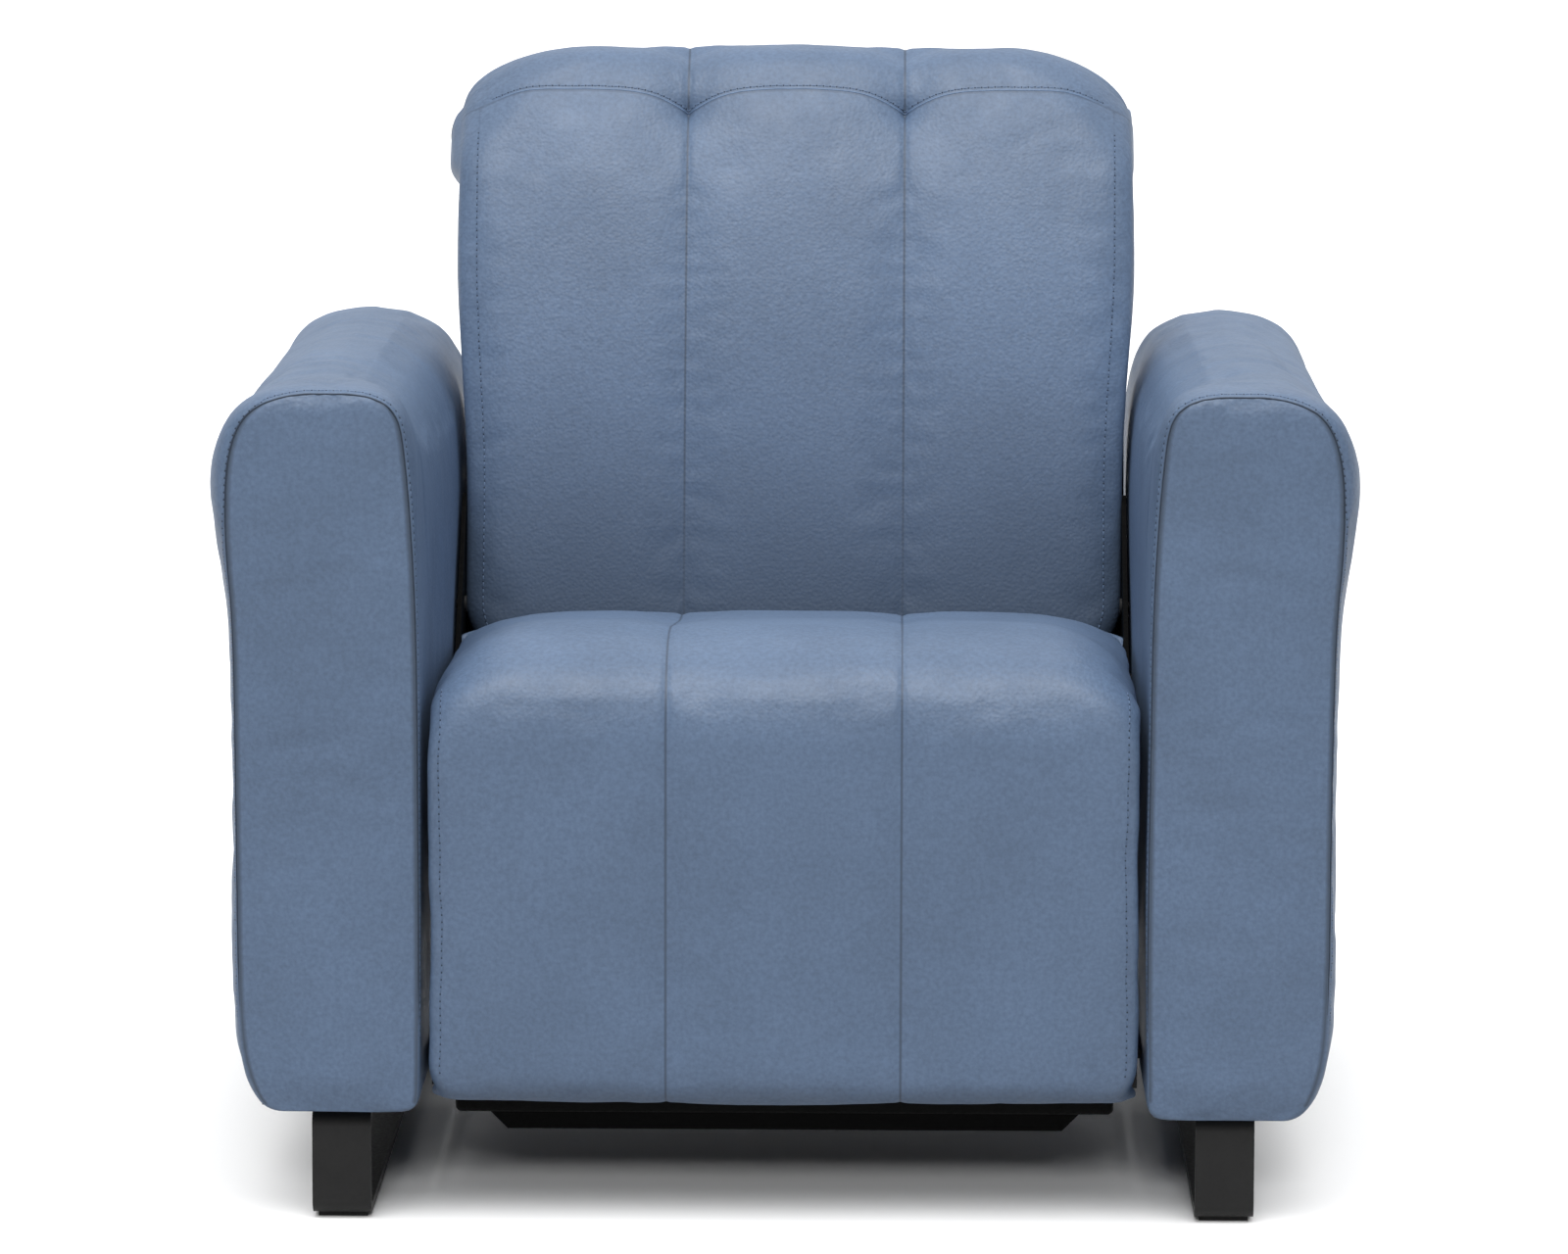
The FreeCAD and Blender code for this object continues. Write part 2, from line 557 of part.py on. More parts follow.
def pad_section(x, inset):
    # Side outline of the legrest pad at one x: flat fold edge at the top, rolled lower edge.
    front = SEAT_FRONT + inset

    def p(y, z):
        return V(x, y, z)
    low = ARM_BOTTOM
    return Part.Wire([
        arc(p(front + 3, FOLD_Z), p(front, 250), p(front + 2, low + 44)),
        arc(p(front + 2, low + 44), p(front + 9, low + 14), p(front + 36, low + 2)),
        line(p(front + 36, low + 2), p(PAD_BACK, low + 2)),
        line(p(PAD_BACK, low + 2), p(PAD_BACK, FOLD_Z)),
        line(p(PAD_BACK, FOLD_Z), p(front + 3, FOLD_Z)),
    ])


save("legrest_pad", channels(pad_section, CUSHION_HALF))


# Back: built upright about the hip pivot, then leaned.

def leaned(shape):
    shape = shape.copy()
    shape.rotate(V(0, 0, 0), V(1, 0, 0), -LEAN)
    shape.translate(V(0, HIP[0], HIP[1]))
    return shape


def leaned_point(y, z):
    c = math.cos(math.radians(LEAN))
    s = math.sin(math.radians(LEAN))
    return (HIP[0] + y * c + z * s, HIP[1] - y * s + z * c)


def back_section(z, front, rear, half, depth=SEAM_DEPTH):
    # Plan outline of the back at one height, with three swelling channels at the front.
    seam = SEAM_X + 2

    def p(x, y):
        return V(x, y, z)
    side = half - 20
    middle = (seam + side) / 2
    return Part.Wire([
        arc(p(-side, front + 7), p(-middle, front), p(-seam, front + depth)),
        arc(p(-seam, front + depth), p(0, front), p(seam, front + depth)),
        arc(p(seam, front + depth), p(middle, front), p(side, front + 7)),
        arc(p(side, front + 7), p(half - 5, front + 18), p(half, front + 38)),
        line(p(half, front + 38), p(half, rear)),
        line(p(half, rear), p(-half, rear)),
        line(p(-half, rear), p(-half, front + 38)),
        arc(p(-half, front + 38), p(-half + 5, front + 18), p(-side, front + 7)),
    ])


BACK_FRAME_FRONT = 40.0
PAD_REAR = BACK_FRAME_FRONT - 2
# Height, front, rear, half width and seam depth of each plan outline.
cushion_stations = [
    (-62.0, -34.0, PAD_REAR, BACK_HALF_LOW - 8, 3.0),
    (-40.0, -60.0, PAD_REAR, BACK_HALF_LOW, 5.0),
    (10.0, -76.0, PAD_REAR, BACK_HALF_LOW, SEAM_DEPTH),
    (130.0, -84.0, PAD_REAR, BACK_HALF_LOW + 4, SEAM_DEPTH),
    (260.0, -88.0, PAD_REAR, BACK_HALF_LOW + 8, SEAM_DEPTH),
    (330.0, -88.0, PAD_REAR, BACK_HALF_HIGH, SEAM_DEPTH),
    (430.0, -84.0, PAD_REAR, BACK_HALF_HIGH, SEAM_DEPTH),
    (460.0, -76.0, PAD_REAR, BACK_HALF_HIGH - 4, SEAM_DEPTH),
    (BACK_SEAM_Z, -66.0, PAD_REAR, BACK_HALF_HIGH - 9, SEAM_DEPTH),
]
save("back_cushion", leaned(Part.makeLoft([back_section(*s) for s in cushion_stations], True, True)))

roll_stations = [
    (BACK_SEAM_Z + 1, -64.0, 92.0, BACK_HALF_HIGH - 7, 8.0),
    (BACK_SEAM_Z + 9, -76.0, 102.0, BACK_HALF_HIGH, 8.0),
    (BACK_SEAM_Z + 34, -82.0, 110.0, BACK_HALF_HIGH + 2, 6.0),
    (BACK_SEAM_Z + 60, -70.0, 104.0, BACK_HALF_HIGH - 8, 4.0),
    (BACK_SEAM_Z + 78, -46.0, 84.0, BACK_HALF_HIGH - 30, 3.0),
    (BACK_TOP, -14.0, 56.0, BACK_HALF_HIGH - 75, 2.0),
]
roll = Part.makeLoft([back_section(*s) for s in roll_stations], True, True)
BACK_RAIL = (246.0, 280.0)
BACK_FRAME_REAR = 74.0
BACK_FRAME_Z = (-20.0, 508.0)
WEBBING_HALF = 264.0
WEBBING_WIDTH = 50.0
roll = roll.cut(box(-BACK_RAIL[1] - 2, BACK_RAIL[1] + 2, BACK_FRAME_FRONT - 1, 93, 400, BACK_FRAME_Z[1] + 2))
save("head_roll", leaned(roll))

BACK_BOLTS = [leaned_point(57, 12), leaned_point(57, 150)]
back_rail = leaned(box(*BACK_RAIL, BACK_FRAME_FRONT + 2, BACK_FRAME_REAR, *BACK_FRAME_Z))
back_rail = bored(back_rail, BACK_BOLTS, SCREW_HOLE_R)
save("back_side_rails", mirrored(back_rail), back_rail)
save("back_cross_rails", *[leaned(box(-BACK_RAIL[0], BACK_RAIL[0], BACK_FRAME_FRONT + 2, BACK_FRAME_REAR,
                                      z, z + CROSS_RAIL_WIDTH))
                           for z in (BACK_FRAME_Z[0], 225.0, BACK_FRAME_Z[1] - CROSS_RAIL_WIDTH)])
save("back_webbing", *[leaned(box(-WEBBING_HALF, WEBBING_HALF, BACK_FRAME_FRONT, BACK_FRAME_FRONT + 2,
                                  z, z + WEBBING_WIDTH))
                       for z in (40.0, 110.0, 180.0, 280.0, 350.0, 420.0)])

PANEL_BOTTOM = -55.0
PANEL_TOP = BACK_SEAM_Z - 3
panel_side = [(272, PANEL_BOTTOM), (276, 240), (288, 330), (288, PANEL_TOP)]
panel_outline = panel_side + [(-x, z) for x, z in reversed(panel_side)]


def panel_wire(y, scale):
    middle = (PANEL_BOTTOM + PANEL_TOP) / 2
    corners = [V(x * scale, y, middle + (z - middle) * scale) for x, z in panel_outline]
    return Part.makePolygon(corners + corners[:1])


panel_front = BACK_FRAME_REAR + 2
panel = Part.makeLoft([panel_wire(panel_front, 1.0), panel_wire(panel_front + 12, 1.0),
                       panel_wire(panel_front + 18, 0.965)], True, True)
save("outer_back_panel", leaned(panel))

back_bracket = plate([HIP, leaned_point(57, 12), leaned_point(57, 150), ARM_PIVOT], 16.0, LINK_X)
back_bracket = bored(back_bracket, BACK_BOLTS, SCREW_HOLE_R)
save_pair("back_bracket", bored(back_bracket, [HIP, ARM_PIVOT], PIN_R + RUNNING_FIT))
bracket_bolts = []
for yz in BACK_BOLTS:
    bracket_bolts += bolt_pair(yz, LINK_X[1], 6.5, 2.0, SCREW_R, 256.0)
save("back_bracket_bolts", *bracket_bolts)
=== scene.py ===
import json
import math
import bmesh
import bpy
import numpy as np
from mathutils import Matrix, Vector
from mathutils.bvhtree import BVHTree


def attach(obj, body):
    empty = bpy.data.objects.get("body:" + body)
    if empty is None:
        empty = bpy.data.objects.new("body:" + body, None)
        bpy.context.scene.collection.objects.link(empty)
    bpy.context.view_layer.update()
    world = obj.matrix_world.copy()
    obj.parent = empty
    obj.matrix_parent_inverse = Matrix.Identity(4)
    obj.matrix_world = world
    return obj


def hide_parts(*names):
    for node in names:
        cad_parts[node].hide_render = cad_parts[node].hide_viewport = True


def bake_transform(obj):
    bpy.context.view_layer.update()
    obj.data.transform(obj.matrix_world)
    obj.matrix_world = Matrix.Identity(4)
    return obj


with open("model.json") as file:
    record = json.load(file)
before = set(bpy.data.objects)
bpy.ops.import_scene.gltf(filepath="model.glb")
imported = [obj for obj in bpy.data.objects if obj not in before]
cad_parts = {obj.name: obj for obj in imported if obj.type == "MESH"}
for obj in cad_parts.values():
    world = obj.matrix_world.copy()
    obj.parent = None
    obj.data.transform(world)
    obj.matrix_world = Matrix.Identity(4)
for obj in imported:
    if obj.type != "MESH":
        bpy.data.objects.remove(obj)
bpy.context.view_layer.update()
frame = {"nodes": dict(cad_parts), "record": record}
nodes = frame["nodes"]

# Driving sizes, metres, in the same frame as the CAD: front of the chair to -Y, floor at z = 0.
ORIGIN_Y = 0.0298
ARM_FRONT = -0.450 + ORIGIN_Y
ARM_REAR = 0.400 + ORIGIN_Y
ARM_LENGTH = ARM_REAR - ARM_FRONT
ARM_BOTTOM = 0.092
ARM_PUFF = 0.030
CUSHION_HALF = 0.2885
SEAM_X = 0.0955
SIDE_SEAM_X = CUSHION_HALF - 0.0075
EDGE_REACH = 0.088
HIP = (0.150 + ORIGIN_Y, 0.380)
LEAN = math.radians(14.0)
BACK_HALF = 0.2985
BACK_SEAM_X = 0.096
ROLL_SEAM = 0.503
FLAP_X = (0.2835, 0.2936)
FLAP_Y = (0.0705, 0.0735)
FLAP_Z = (-0.060, 0.340)

# Sewing.
STITCH_PITCH = 0.0058
STITCH_LENGTH = 0.0042
STITCH_RADIUS = 0.00055
HOLE_RADIUS = 0.00075
PIPING_RADIUS = 0.0007
SEAM_RADIUS = 0.0008
# How far the painted shade along a seam spreads to each side:
SEAM_SHADE_WIDTH = 0.0022

# Mesh density, and the greatest movement of the cloth on each cushion.
ARM_POINTS = 88
ARM_SECTIONS = 74
ARM_CLOSURE = 13
SEAT_ROWS = 72
LEGREST_ROWS = 42
SEAT_CLOSURE = 5
BACK_ROWS = 74
ROLL_ROWS = 40
ROLL_SEAM_ROW = BACK_ROWS - 1
ROW_STEP = 0.007
BACK_CLOSURE = 11
TUBE_SIDES = 6
SEAT_PUFF = 0.0018
BACK_PUFF = 0.0022
ARM_CLOTH_PUFF = 0.0022


# Meshes

def resampled(points, count):
    """Evenly spaced points along a polyline."""
    points = np.array(points, float)
    steps = np.linalg.norm(np.diff(points, axis=0), axis=1)
    along = np.concatenate([[0.0], np.cumsum(steps)])
    at = np.linspace(0.0, along[-1], count)
    return np.stack([np.interp(at, along, points[:, i]) for i in range(points.shape[1])], axis=1)


def soft_curve(points, rounds=4):
    """A smooth open curve inside a control polygon, by cutting its corners; the ends stay."""
    points = np.array(points, float)
    for _ in range(rounds):
        near = 0.75 * points[:-1] + 0.25 * points[1:]
        far = 0.25 * points[:-1] + 0.75 * points[1:]
        middle = np.stack([near, far], axis=1).reshape(-1, points.shape[1])
        points = np.concatenate([points[:1], middle[1:-1], points[-1:]])
    return points


def outward(path, row, direction):
    """Unit normals of a plane path, turned so that the one at a row points along direction."""
    tangent = np.gradient(path, axis=0)
    tangent /= np.linalg.norm(tangent, axis=1)[:, None]
    normal = np.stack([tangent[:, 1], -tangent[:, 0]], axis=1)
    return normal if normal[row] @ np.array(direction) > 0 else -normal


def smooth(t):
    """Eases from 0 at t = 0 to 1 at t = 1."""
    t = np.clip(t, 0.0, 1.0)
    return t * t * (3.0 - 2.0 * t)


def bump(x, width):
    """A soft hump, 1 in the middle."""
    return np.exp(-(x / width) ** 2)


class Shell:
    """A closed quad mesh: sections along an axis, each with an outer path, an inner path and short
    closures between them, and a grid cap at each end."""

    def __init__(self, outer, inner, closure):
        # outer and inner are (sections, points, 3) arrays with the same shape.
        self.sections, self.points = outer.shape[:2]
        self.closure = closure
        t = (np.arange(closure) + 1.0) / (closure + 1.0)
        low = outer[:, -1, None] * (1 - t)[None, :, None] + inner[:, -1, None] * t[None, :, None]
        high = inner[:, 0, None] * (1 - t)[None, :, None] + outer[:, 0, None] * t[None, :, None]
        loops = np.concatenate([outer, low, inner[:, ::-1], high], axis=1)
        self.loop = loops.shape[1]
        self.verts = loops.reshape(-1, 3)
        self.faces = []
        for s in range(self.sections - 1):
            for n in range(self.loop):
                m = (n + 1) % self.loop
                self.faces.append((s * self.loop + n, s * self.loop + m,
                                   (s + 1) * self.loop + m, (s + 1) * self.loop + n))
        self.caps = []
        self._cap(0, False)
        self._cap(self.sections - 1, True)

    def index(self, section, row, column):
        """Vertex at a cap's row (along the paths) and column (0 outer, closure + 1 inner)."""
        base = section * self.loop
        if column == 0:
            return base + row
        if column == self.closure + 1:
            return base + self.points + self.closure + (self.points - 1 - row)
        if row == self.points - 1:
            return base + self.points + column - 1
        if row == 0:
            return base + 2 * self.points + self.closure + (self.closure - column)
        return None

    def places(self):
        """Section and place in the loop of every point outside the end caps."""
        number = np.arange(self.sections * self.loop)
        return number // self.loop, number % self.loop

    def _cap(self, section, flip):
        grid = np.zeros((self.points, self.closure + 2), int)
        new = []
        for row in range(self.points):
            a = self.verts[self.index(section, row, 0)]
            b = self.verts[self.index(section, row, self.closure + 1)]
            for column in range(self.closure + 2):
                at = self.index(section, row, column)
                if at is None:
                    at = len(self.verts) + len(new)
                    t = column / (self.closure + 1.0)
                    new.append(a * (1 - t) + b * t)
                grid[row, column] = at
        if new:
            self.verts = np.concatenate([self.verts, np.array(new)])
        for row in range(self.points - 1):
            for column in range(self.closure + 1):
                face = (grid[row, column], grid[row, column + 1],
                        grid[row + 1, column + 1], grid[row + 1, column])
                self.faces.append(tuple(reversed(face)) if flip else face)
        self.caps.append(grid)


def make_object(name, verts, faces, material=None):
    mesh = bpy.data.meshes.new(name)
    mesh.from_pydata([tuple(v) for v in verts], [], [tuple(int(i) for i in f) for f in faces])
    mesh.validate()
    obj = bpy.data.objects.new(name, mesh)
    bpy.context.scene.collection.objects.link(obj)
    work = bmesh.new()
    work.from_mesh(mesh)
    bmesh.ops.recalc_face_normals(work, faces=work.faces)
    work.to_mesh(mesh)
    work.free()
    mesh.shade_smooth()
    if material:
        mesh.materials.append(material)
    return obj


def coordinates(obj):
    co = np.zeros(len(obj.data.vertices) * 3)
    obj.data.vertices.foreach_get("co", co)
    return co.reshape(-1, 3)


def set_coordinates(obj, co):
    obj.data.vertices.foreach_set("co", np.ascontiguousarray(co, float).ravel())
    obj.data.update()


def normals(obj):
    no = np.zeros(len(obj.data.vertices) * 3)
    obj.data.vertices.foreach_get("normal", no)
    return no.reshape(-1, 3)


def store(obj, name, values):
    attribute = obj.data.attributes.new(name, "FLOAT", "POINT")
    attribute.data.foreach_set("value", np.asarray(values, np.float32))


def all_points(obj, values, filler):
    """Values of the sections' points, followed by the filler for the points inside the end caps."""
    return np.concatenate([values, np.full(len(obj.data.vertices) - len(values), filler)])


def add_cloth(obj, growth, frames):
    cloth = obj.modifiers.new("Cloth", "CLOTH")
    settings = cloth.settings
    settings.quality = 5
    settings.mass = 0.4
    settings.tension_stiffness = 18
    settings.compression_stiffness = 18
    settings.shear_stiffness = 8
    settings.bending_stiffness = 1.2
    settings.tension_damping = 10
    settings.compression_damping = 10
    settings.bending_damping = 2
    settings.shrink_min = -growth
    settings.use_pressure = True
    settings.uniform_pressure_force = 1.2
    settings.vertex_group_mass = "pins"
    settings.pin_stiffness = 1.0
    settings.effector_weights.gravity = 0.0
    cloth.collision_settings.use_collision = False
    cloth.point_cache.frame_start = 1
    cloth.point_cache.frame_end = frames
    return cloth


def inflate(obj, pins, growth, cap, frames=20):
    """Cloth simulation with the pinned points held; no vertex moves further than cap."""
    start = coordinates(obj)
    group = obj.vertex_groups.new(name="pins")
    group.add([int(i) for i in np.nonzero(pins)[0]], 1.0, "REPLACE")
    cloth = add_cloth(obj, growth, frames)
    scene = bpy.context.scene
    for number in range(1, frames + 1):
        scene.frame_set(number)
    graph = bpy.context.evaluated_depsgraph_get()
    result = obj.evaluated_get(graph).to_mesh()
    end = np.zeros(len(result.vertices) * 3)
    result.vertices.foreach_get("co", end)
    obj.evaluated_get(graph).to_mesh_clear()
    obj.modifiers.remove(cloth)
    obj.vertex_groups.remove(group)
    scene.frame_set(1)
    move = end.reshape(-1, 3) - start
    length = np.linalg.norm(move, axis=1)
    scale = np.where(length > cap, cap / np.maximum(length, 1e-9), 1.0)
    set_coordinates(obj, start + move * scale[:, None])


def subdivide(obj, levels=1):
    modifier = obj.modifiers.new("Subdivision", "SUBSURF")
    modifier.levels = levels
    modifier.render_levels = levels
    graph = bpy.context.evaluated_depsgraph_get()
    mesh = bpy.data.meshes.new_from_object(obj.evaluated_get(graph), preserve_all_data_layers=True,
                                           depsgraph=graph)
    obj.modifiers.clear()
    old = obj.data
    obj.data = mesh
    bpy.data.meshes.remove(old)
    mesh.name = obj.name
    mesh.shade_smooth()


def wave(p, seed):
    """Smooth pseudo-random field from a few fixed sine waves, about -1 to 1."""
    rng = np.random.default_rng(seed)
    total = np.zeros(len(p))
    for _ in range(7):
        direction = rng.normal(size=3)
        direction /= np.linalg.norm(direction)
        total += np.sin(p @ direction * rng.uniform(0.6, 1.5) + rng.uniform(0, 6.28))
    return total / 3.0


# Materials

def node_material(name):
    material = bpy.data.materials.new(name)
    material.use_nodes = True
    tree = material.node_tree
    return material, tree, tree.nodes["Principled BSDF"]


def grey(level):
    return (level, level, level, 1.0)


def scaled(base, factor):
    """A colour with each channel times a factor."""
    return tuple(factor * c for c in base) + (1.0,)


def object_noise(tree, scale, detail):
    where = tree.nodes.new("ShaderNodeTexCoord")
    texture = tree.nodes.new("ShaderNodeTexNoise")
    texture.inputs["Scale"].default_value = scale
    texture.inputs["Detail"].default_value = detail
    tree.links.new(where.outputs["Object"], texture.inputs["Vector"])
    return texture.outputs["Fac"]


def object_cells(tree, scale):
    """Distance from the middle of rounded random cells."""
    where = tree.nodes.new("ShaderNodeTexCoord")
    texture = tree.nodes.new("ShaderNodeTexVoronoi")
    texture.feature = "SMOOTH_F1"
    texture.inputs["Scale"].default_value = scale
    texture.inputs["Randomness"].default_value = 0.9
    tree.links.new(where.outputs["Object"], texture.inputs["Vector"])
    return texture.outputs["Distance"]


def ramp(tree, source, stops):
    node = tree.nodes.new("ShaderNodeValToRGB")
    elements = node.color_ramp.elements
    elements[0].position, elements[0].color = stops[0]
    elements[1].position, elements[1].color = stops[-1]
    for position, colour in stops[1:-1]:
        made = elements.new(position)
        made.color = colour
    tree.links.new(source, node.inputs["Fac"])
    return node.outputs["Color"]


def connect(tree, sockets, values):
    """Sets each socket to its value, or links it where the value is another node's output."""
    for socket, value in zip(sockets, values):
        if isinstance(value, (int, float, tuple)):
            socket.default_value = value
        else:
            tree.links.new(value, socket)


def greater(tree, a, b):
    node = tree.nodes.new("ShaderNodeMath")
    node.operation = "MAXIMUM"
    connect(tree, node.inputs, (a, b))
    return node.outputs[0]


def mix_colour(tree, factor, a, b, blend_type="MIX"):
    node = tree.nodes.new("ShaderNodeMix")
    node.data_type = "RGBA"
    node.blend_type = blend_type
    connect(tree, (node.inputs[0], node.inputs[6], node.inputs[7]), (factor, a, b))
    return node.outputs[2]


def mesh_value(tree, name):
    """A value that the mesh stores at its points."""
    node = tree.nodes.new("ShaderNodeAttribute")
    node.attribute_name = name
    return node.outputs["Fac"]


def relief(tree, height, strength, distance, under=None):
    """The normal of a bumped surface, on top of another relief where one is given."""
    node = tree.nodes.new("ShaderNodeBump")
    node.inputs["Strength"].default_value = strength
    node.inputs["Distance"].default_value = distance
    tree.links.new(height, node.inputs["Height"])
    if under:
        tree.links.new(under, node.inputs["Normal"])
    return node.outputs["Normal"]


def leather_colour(tree, base):
    """Soft mottling with a fine speckle."""
    dark, light = scaled(base, 0.93), scaled(base, 1.06)
    mottle = ramp(tree, object_noise(tree, 9.0, 4.0), [(0.35, dark), (0.65, light)])
    speckle = ramp(tree, object_noise(tree, 260.0, 3.0), [(0.3, grey(0.80)), (0.7, grey(1.16))])
    return mix_colour(tree, 0.65, mottle, speckle, "MULTIPLY")


def leather(name, base, sewn=True):
    """Pebble-grained leather; on the sewn skins the colour carries painted shade at the seams and low on the
    back.
    """
    material, tree, shader = node_material(name)
    links = tree.links
    colour = leather_colour(tree, base)
    # Painted shade: the colour is darkened in the seam grooves and on the low part of the back.
    if sewn:
        groove = ramp(tree, mesh_value(tree, "seam"), [(0.55, grey(0.0)), (1.0, grey(1.0))])
        colour = mix_colour(tree, groove, colour, scaled(base, 0.38))
        colour = mix_colour(tree, mesh_value(tree, "tone"), colour, scaled(base, 0.42))
    links.new(colour, shader.inputs["Base Color"])
    rough = ramp(tree, object_noise(tree, 34.0, 3.0), [(0.3, grey(0.50)), (0.7, grey(0.57))])
    links.new(rough, shader.inputs["Roughness"])
    shader.inputs["Specular IOR Level"].default_value = 0.6
    shader.inputs["Sheen Weight"].default_value = 0.04
    shader.inputs["Sheen Roughness"].default_value = 0.45
    shader.inputs["Sheen Tint"].default_value = scaled(base, 2.5)
    pebbles = relief(tree, object_cells(tree, 360.0), 0.45, 0.0007)
    creases = relief(tree, object_noise(tree, 60.0, 4.0), 0.12, 0.0015, pebbles)
    broad = relief(tree, object_noise(tree, 14.0, 2.0), 0.10, 0.003, creases)
    links.new(broad, shader.inputs["Normal"])
    return material


def mottled(name, base, roughness, scale, wear=0.15, specular=0.5):
    """Paint, plastic, thread or cloth: a colour and a roughness that vary a little, with a fine grain."""
    material, tree, shader = node_material(name)
    links = tree.links
    shader.inputs["Specular IOR Level"].default_value = specular
    low, high = scaled(base, 1 - wear), scaled(base, 1 + wear)
    colour = ramp(tree, object_noise(tree, scale, 4.0), [(0.3, low), (0.7, high)])
    links.new(colour, shader.inputs["Base Color"])
    fine = object_noise(tree, scale * 12, 2.0)
    rough = ramp(tree, fine, [(0.3, grey(roughness * 0.85)), (0.7, grey(roughness * 1.15))])
    links.new(rough, shader.inputs["Roughness"])
    links.new(relief(tree, fine, 0.1, 0.0003), shader.inputs["Normal"])
    return material


def plywood(name):
    """Pale wood with its grain along x."""
    material, tree, shader = node_material(name)
    links = tree.links
    where = tree.nodes.new("ShaderNodeTexCoord")
    stretch = tree.nodes.new("ShaderNodeMapping")
    stretch.inputs["Scale"].default_value = (3.0, 40.0, 40.0)
    links.new(where.outputs["Object"], stretch.inputs["Vector"])
    grain = tree.nodes.new("ShaderNodeTexNoise")
    grain.inputs["Scale"].default_value = 4.0
    grain.inputs["Detail"].default_value = 6.0
    links.new(stretch.outputs["Vector"], grain.inputs["Vector"])
    colour = ramp(tree, grain.outputs["Fac"], [(0.3, (0.36, 0.22, 0.11, 1)), (0.7, (0.62, 0.44, 0.25, 1))])
    links.new(colour, shader.inputs["Base Color"])
    shader.inputs["Roughness"].default_value = 0.7
    links.new(relief(tree, grain.outputs["Fac"], 0.2, 0.0005), shader.inputs["Normal"])
    return material


def woven(name, base):
    """Coarse cloth with raised threads."""
    material, tree, shader = node_material(name)
    links = tree.links
    where = tree.nodes.new("ShaderNodeTexCoord")
    weave = tree.nodes.new("ShaderNodeTexWave")
    weave.inputs["Scale"].default_value = 180.0
    weave.inputs["Distortion"].default_value = 1.5
    links.new(where.outputs["Object"], weave.inputs["Vector"])
    colour = ramp(tree, weave.outputs["Fac"], [(0.2, scaled(base, 0.7)), (0.8, scaled(base, 1.0))])
    links.new(colour, shader.inputs["Base Color"])
    shader.inputs["Roughness"].default_value = 0.85
    links.new(relief(tree, weave.outputs["Fac"], 0.4, 0.0004), shader.inputs["Normal"])
    return material


BLUE = (0.127, 0.192, 0.308)
leather_blue = leather("leather_blue", BLUE)
leather_plain = leather("leather_plain", BLUE, sewn=False)
# A lighter leather for the strip along the head roll's seam: a painted highlight on the roll's edge.
painted_highlight_edge = mottled("painted_highlight_edge", scaled(BLUE, 1.35)[:3], 0.5, 90.0)
thread = mottled("thread", scaled(BLUE, 1.05)[:3], 0.6, 90.0)
# Needle holes are small dark discs: painted shade in the holes.
needle_hole_shade = mottled("needle_hole_shade", scaled(BLUE, 0.30)[:3], 0.8, 90.0)
# A dark tube along the arms' front rim: painted shade in the seam's crease.
seam_painted_shade = mottled("seam_painted_shade", scaled(BLUE, 0.22)[:3], 0.8, 90.0)
black_steel = mottled("black_steel", (0.012, 0.012, 0.012), 0.50, 30.0, specular=0.25)
# Near black and almost without gloss, darker than the other black steel: painted shade on the guard parts and
# pivot plates, which sit under the seat and in the gaps beside it.
guard_steel_painted_shade = mottled("guard_steel_painted_shade", (0.003, 0.003, 0.003), 0.60, 30.0, specular=0.05)
plated_steel = mottled("plated_steel", (0.030, 0.030, 0.031), 0.60, 24.0, specular=0.15)
# Black cloth: a real cover on the legrest board, and painted shade on the flaps and the arm frames, which
# show in the gaps beside and under the arms.
dust_cloth_and_shade = mottled("dust_cloth_and_shade", (0.008, 0.008, 0.009), 0.95, 140.0, specular=0.0)
black_plastic = mottled("black_plastic", (0.030, 0.030, 0.033), 0.55, 60.0)
switch_plastic = mottled("switch_plastic", (0.10, 0.10, 0.11), 0.38, 60.0, wear=0.08)
glide_plastic = mottled("glide_plastic", (0.02, 0.02, 0.02), 0.7, 60.0)
timber = plywood("timber")
webbing = woven("webbing", (0.10, 0.095, 0.085))

# Each node takes the material of its slot, apart from a few: the glides have a plastic of their own and the
# legrest board a black cloth cover, while the guard parts, pivot plates and arm frames are drawn near black
# as painted shade under the seat and in the gaps beside and under the arms.
SLOT_MATERIALS = {
    "leather": leather_plain,
    "back_leather": leather_plain,
    "timber": timber,
    "black_steel": black_steel,
    "plated_steel": plated_steel,
    "black_plastic": black_plastic,
    "switch_plastic": switch_plastic,
    "webbing": webbing,
}
NODE_MATERIALS = {
    "leg_glides": glide_plastic,
    "front_guard_plate": guard_steel_painted_shade,
    "front_cross_tube": guard_steel_painted_shade,
    "guard_plate_bolts": guard_steel_painted_shade,
    "left_pivot_plate": guard_steel_painted_shade,
    "right_pivot_plate": guard_steel_painted_shade,
    "left_arm_frame": dust_cloth_and_shade,
    "right_arm_frame": dust_cloth_and_shade,
    "legrest_board": dust_cloth_and_shade,
}
for row in frame["record"]["subparts"]:
    finish = NODE_MATERIALS.get(row["node"], SLOT_MATERIALS[row["material_slot"]])
    nodes[row["node"]].data.materials.clear()
    nodes[row["node"]].data.materials.append(finish)


# Sewing

def skin_line(obj, indices):
    """Points of the skin along a row of its vertices."""
    return coordinates(obj)[np.array(indices)]


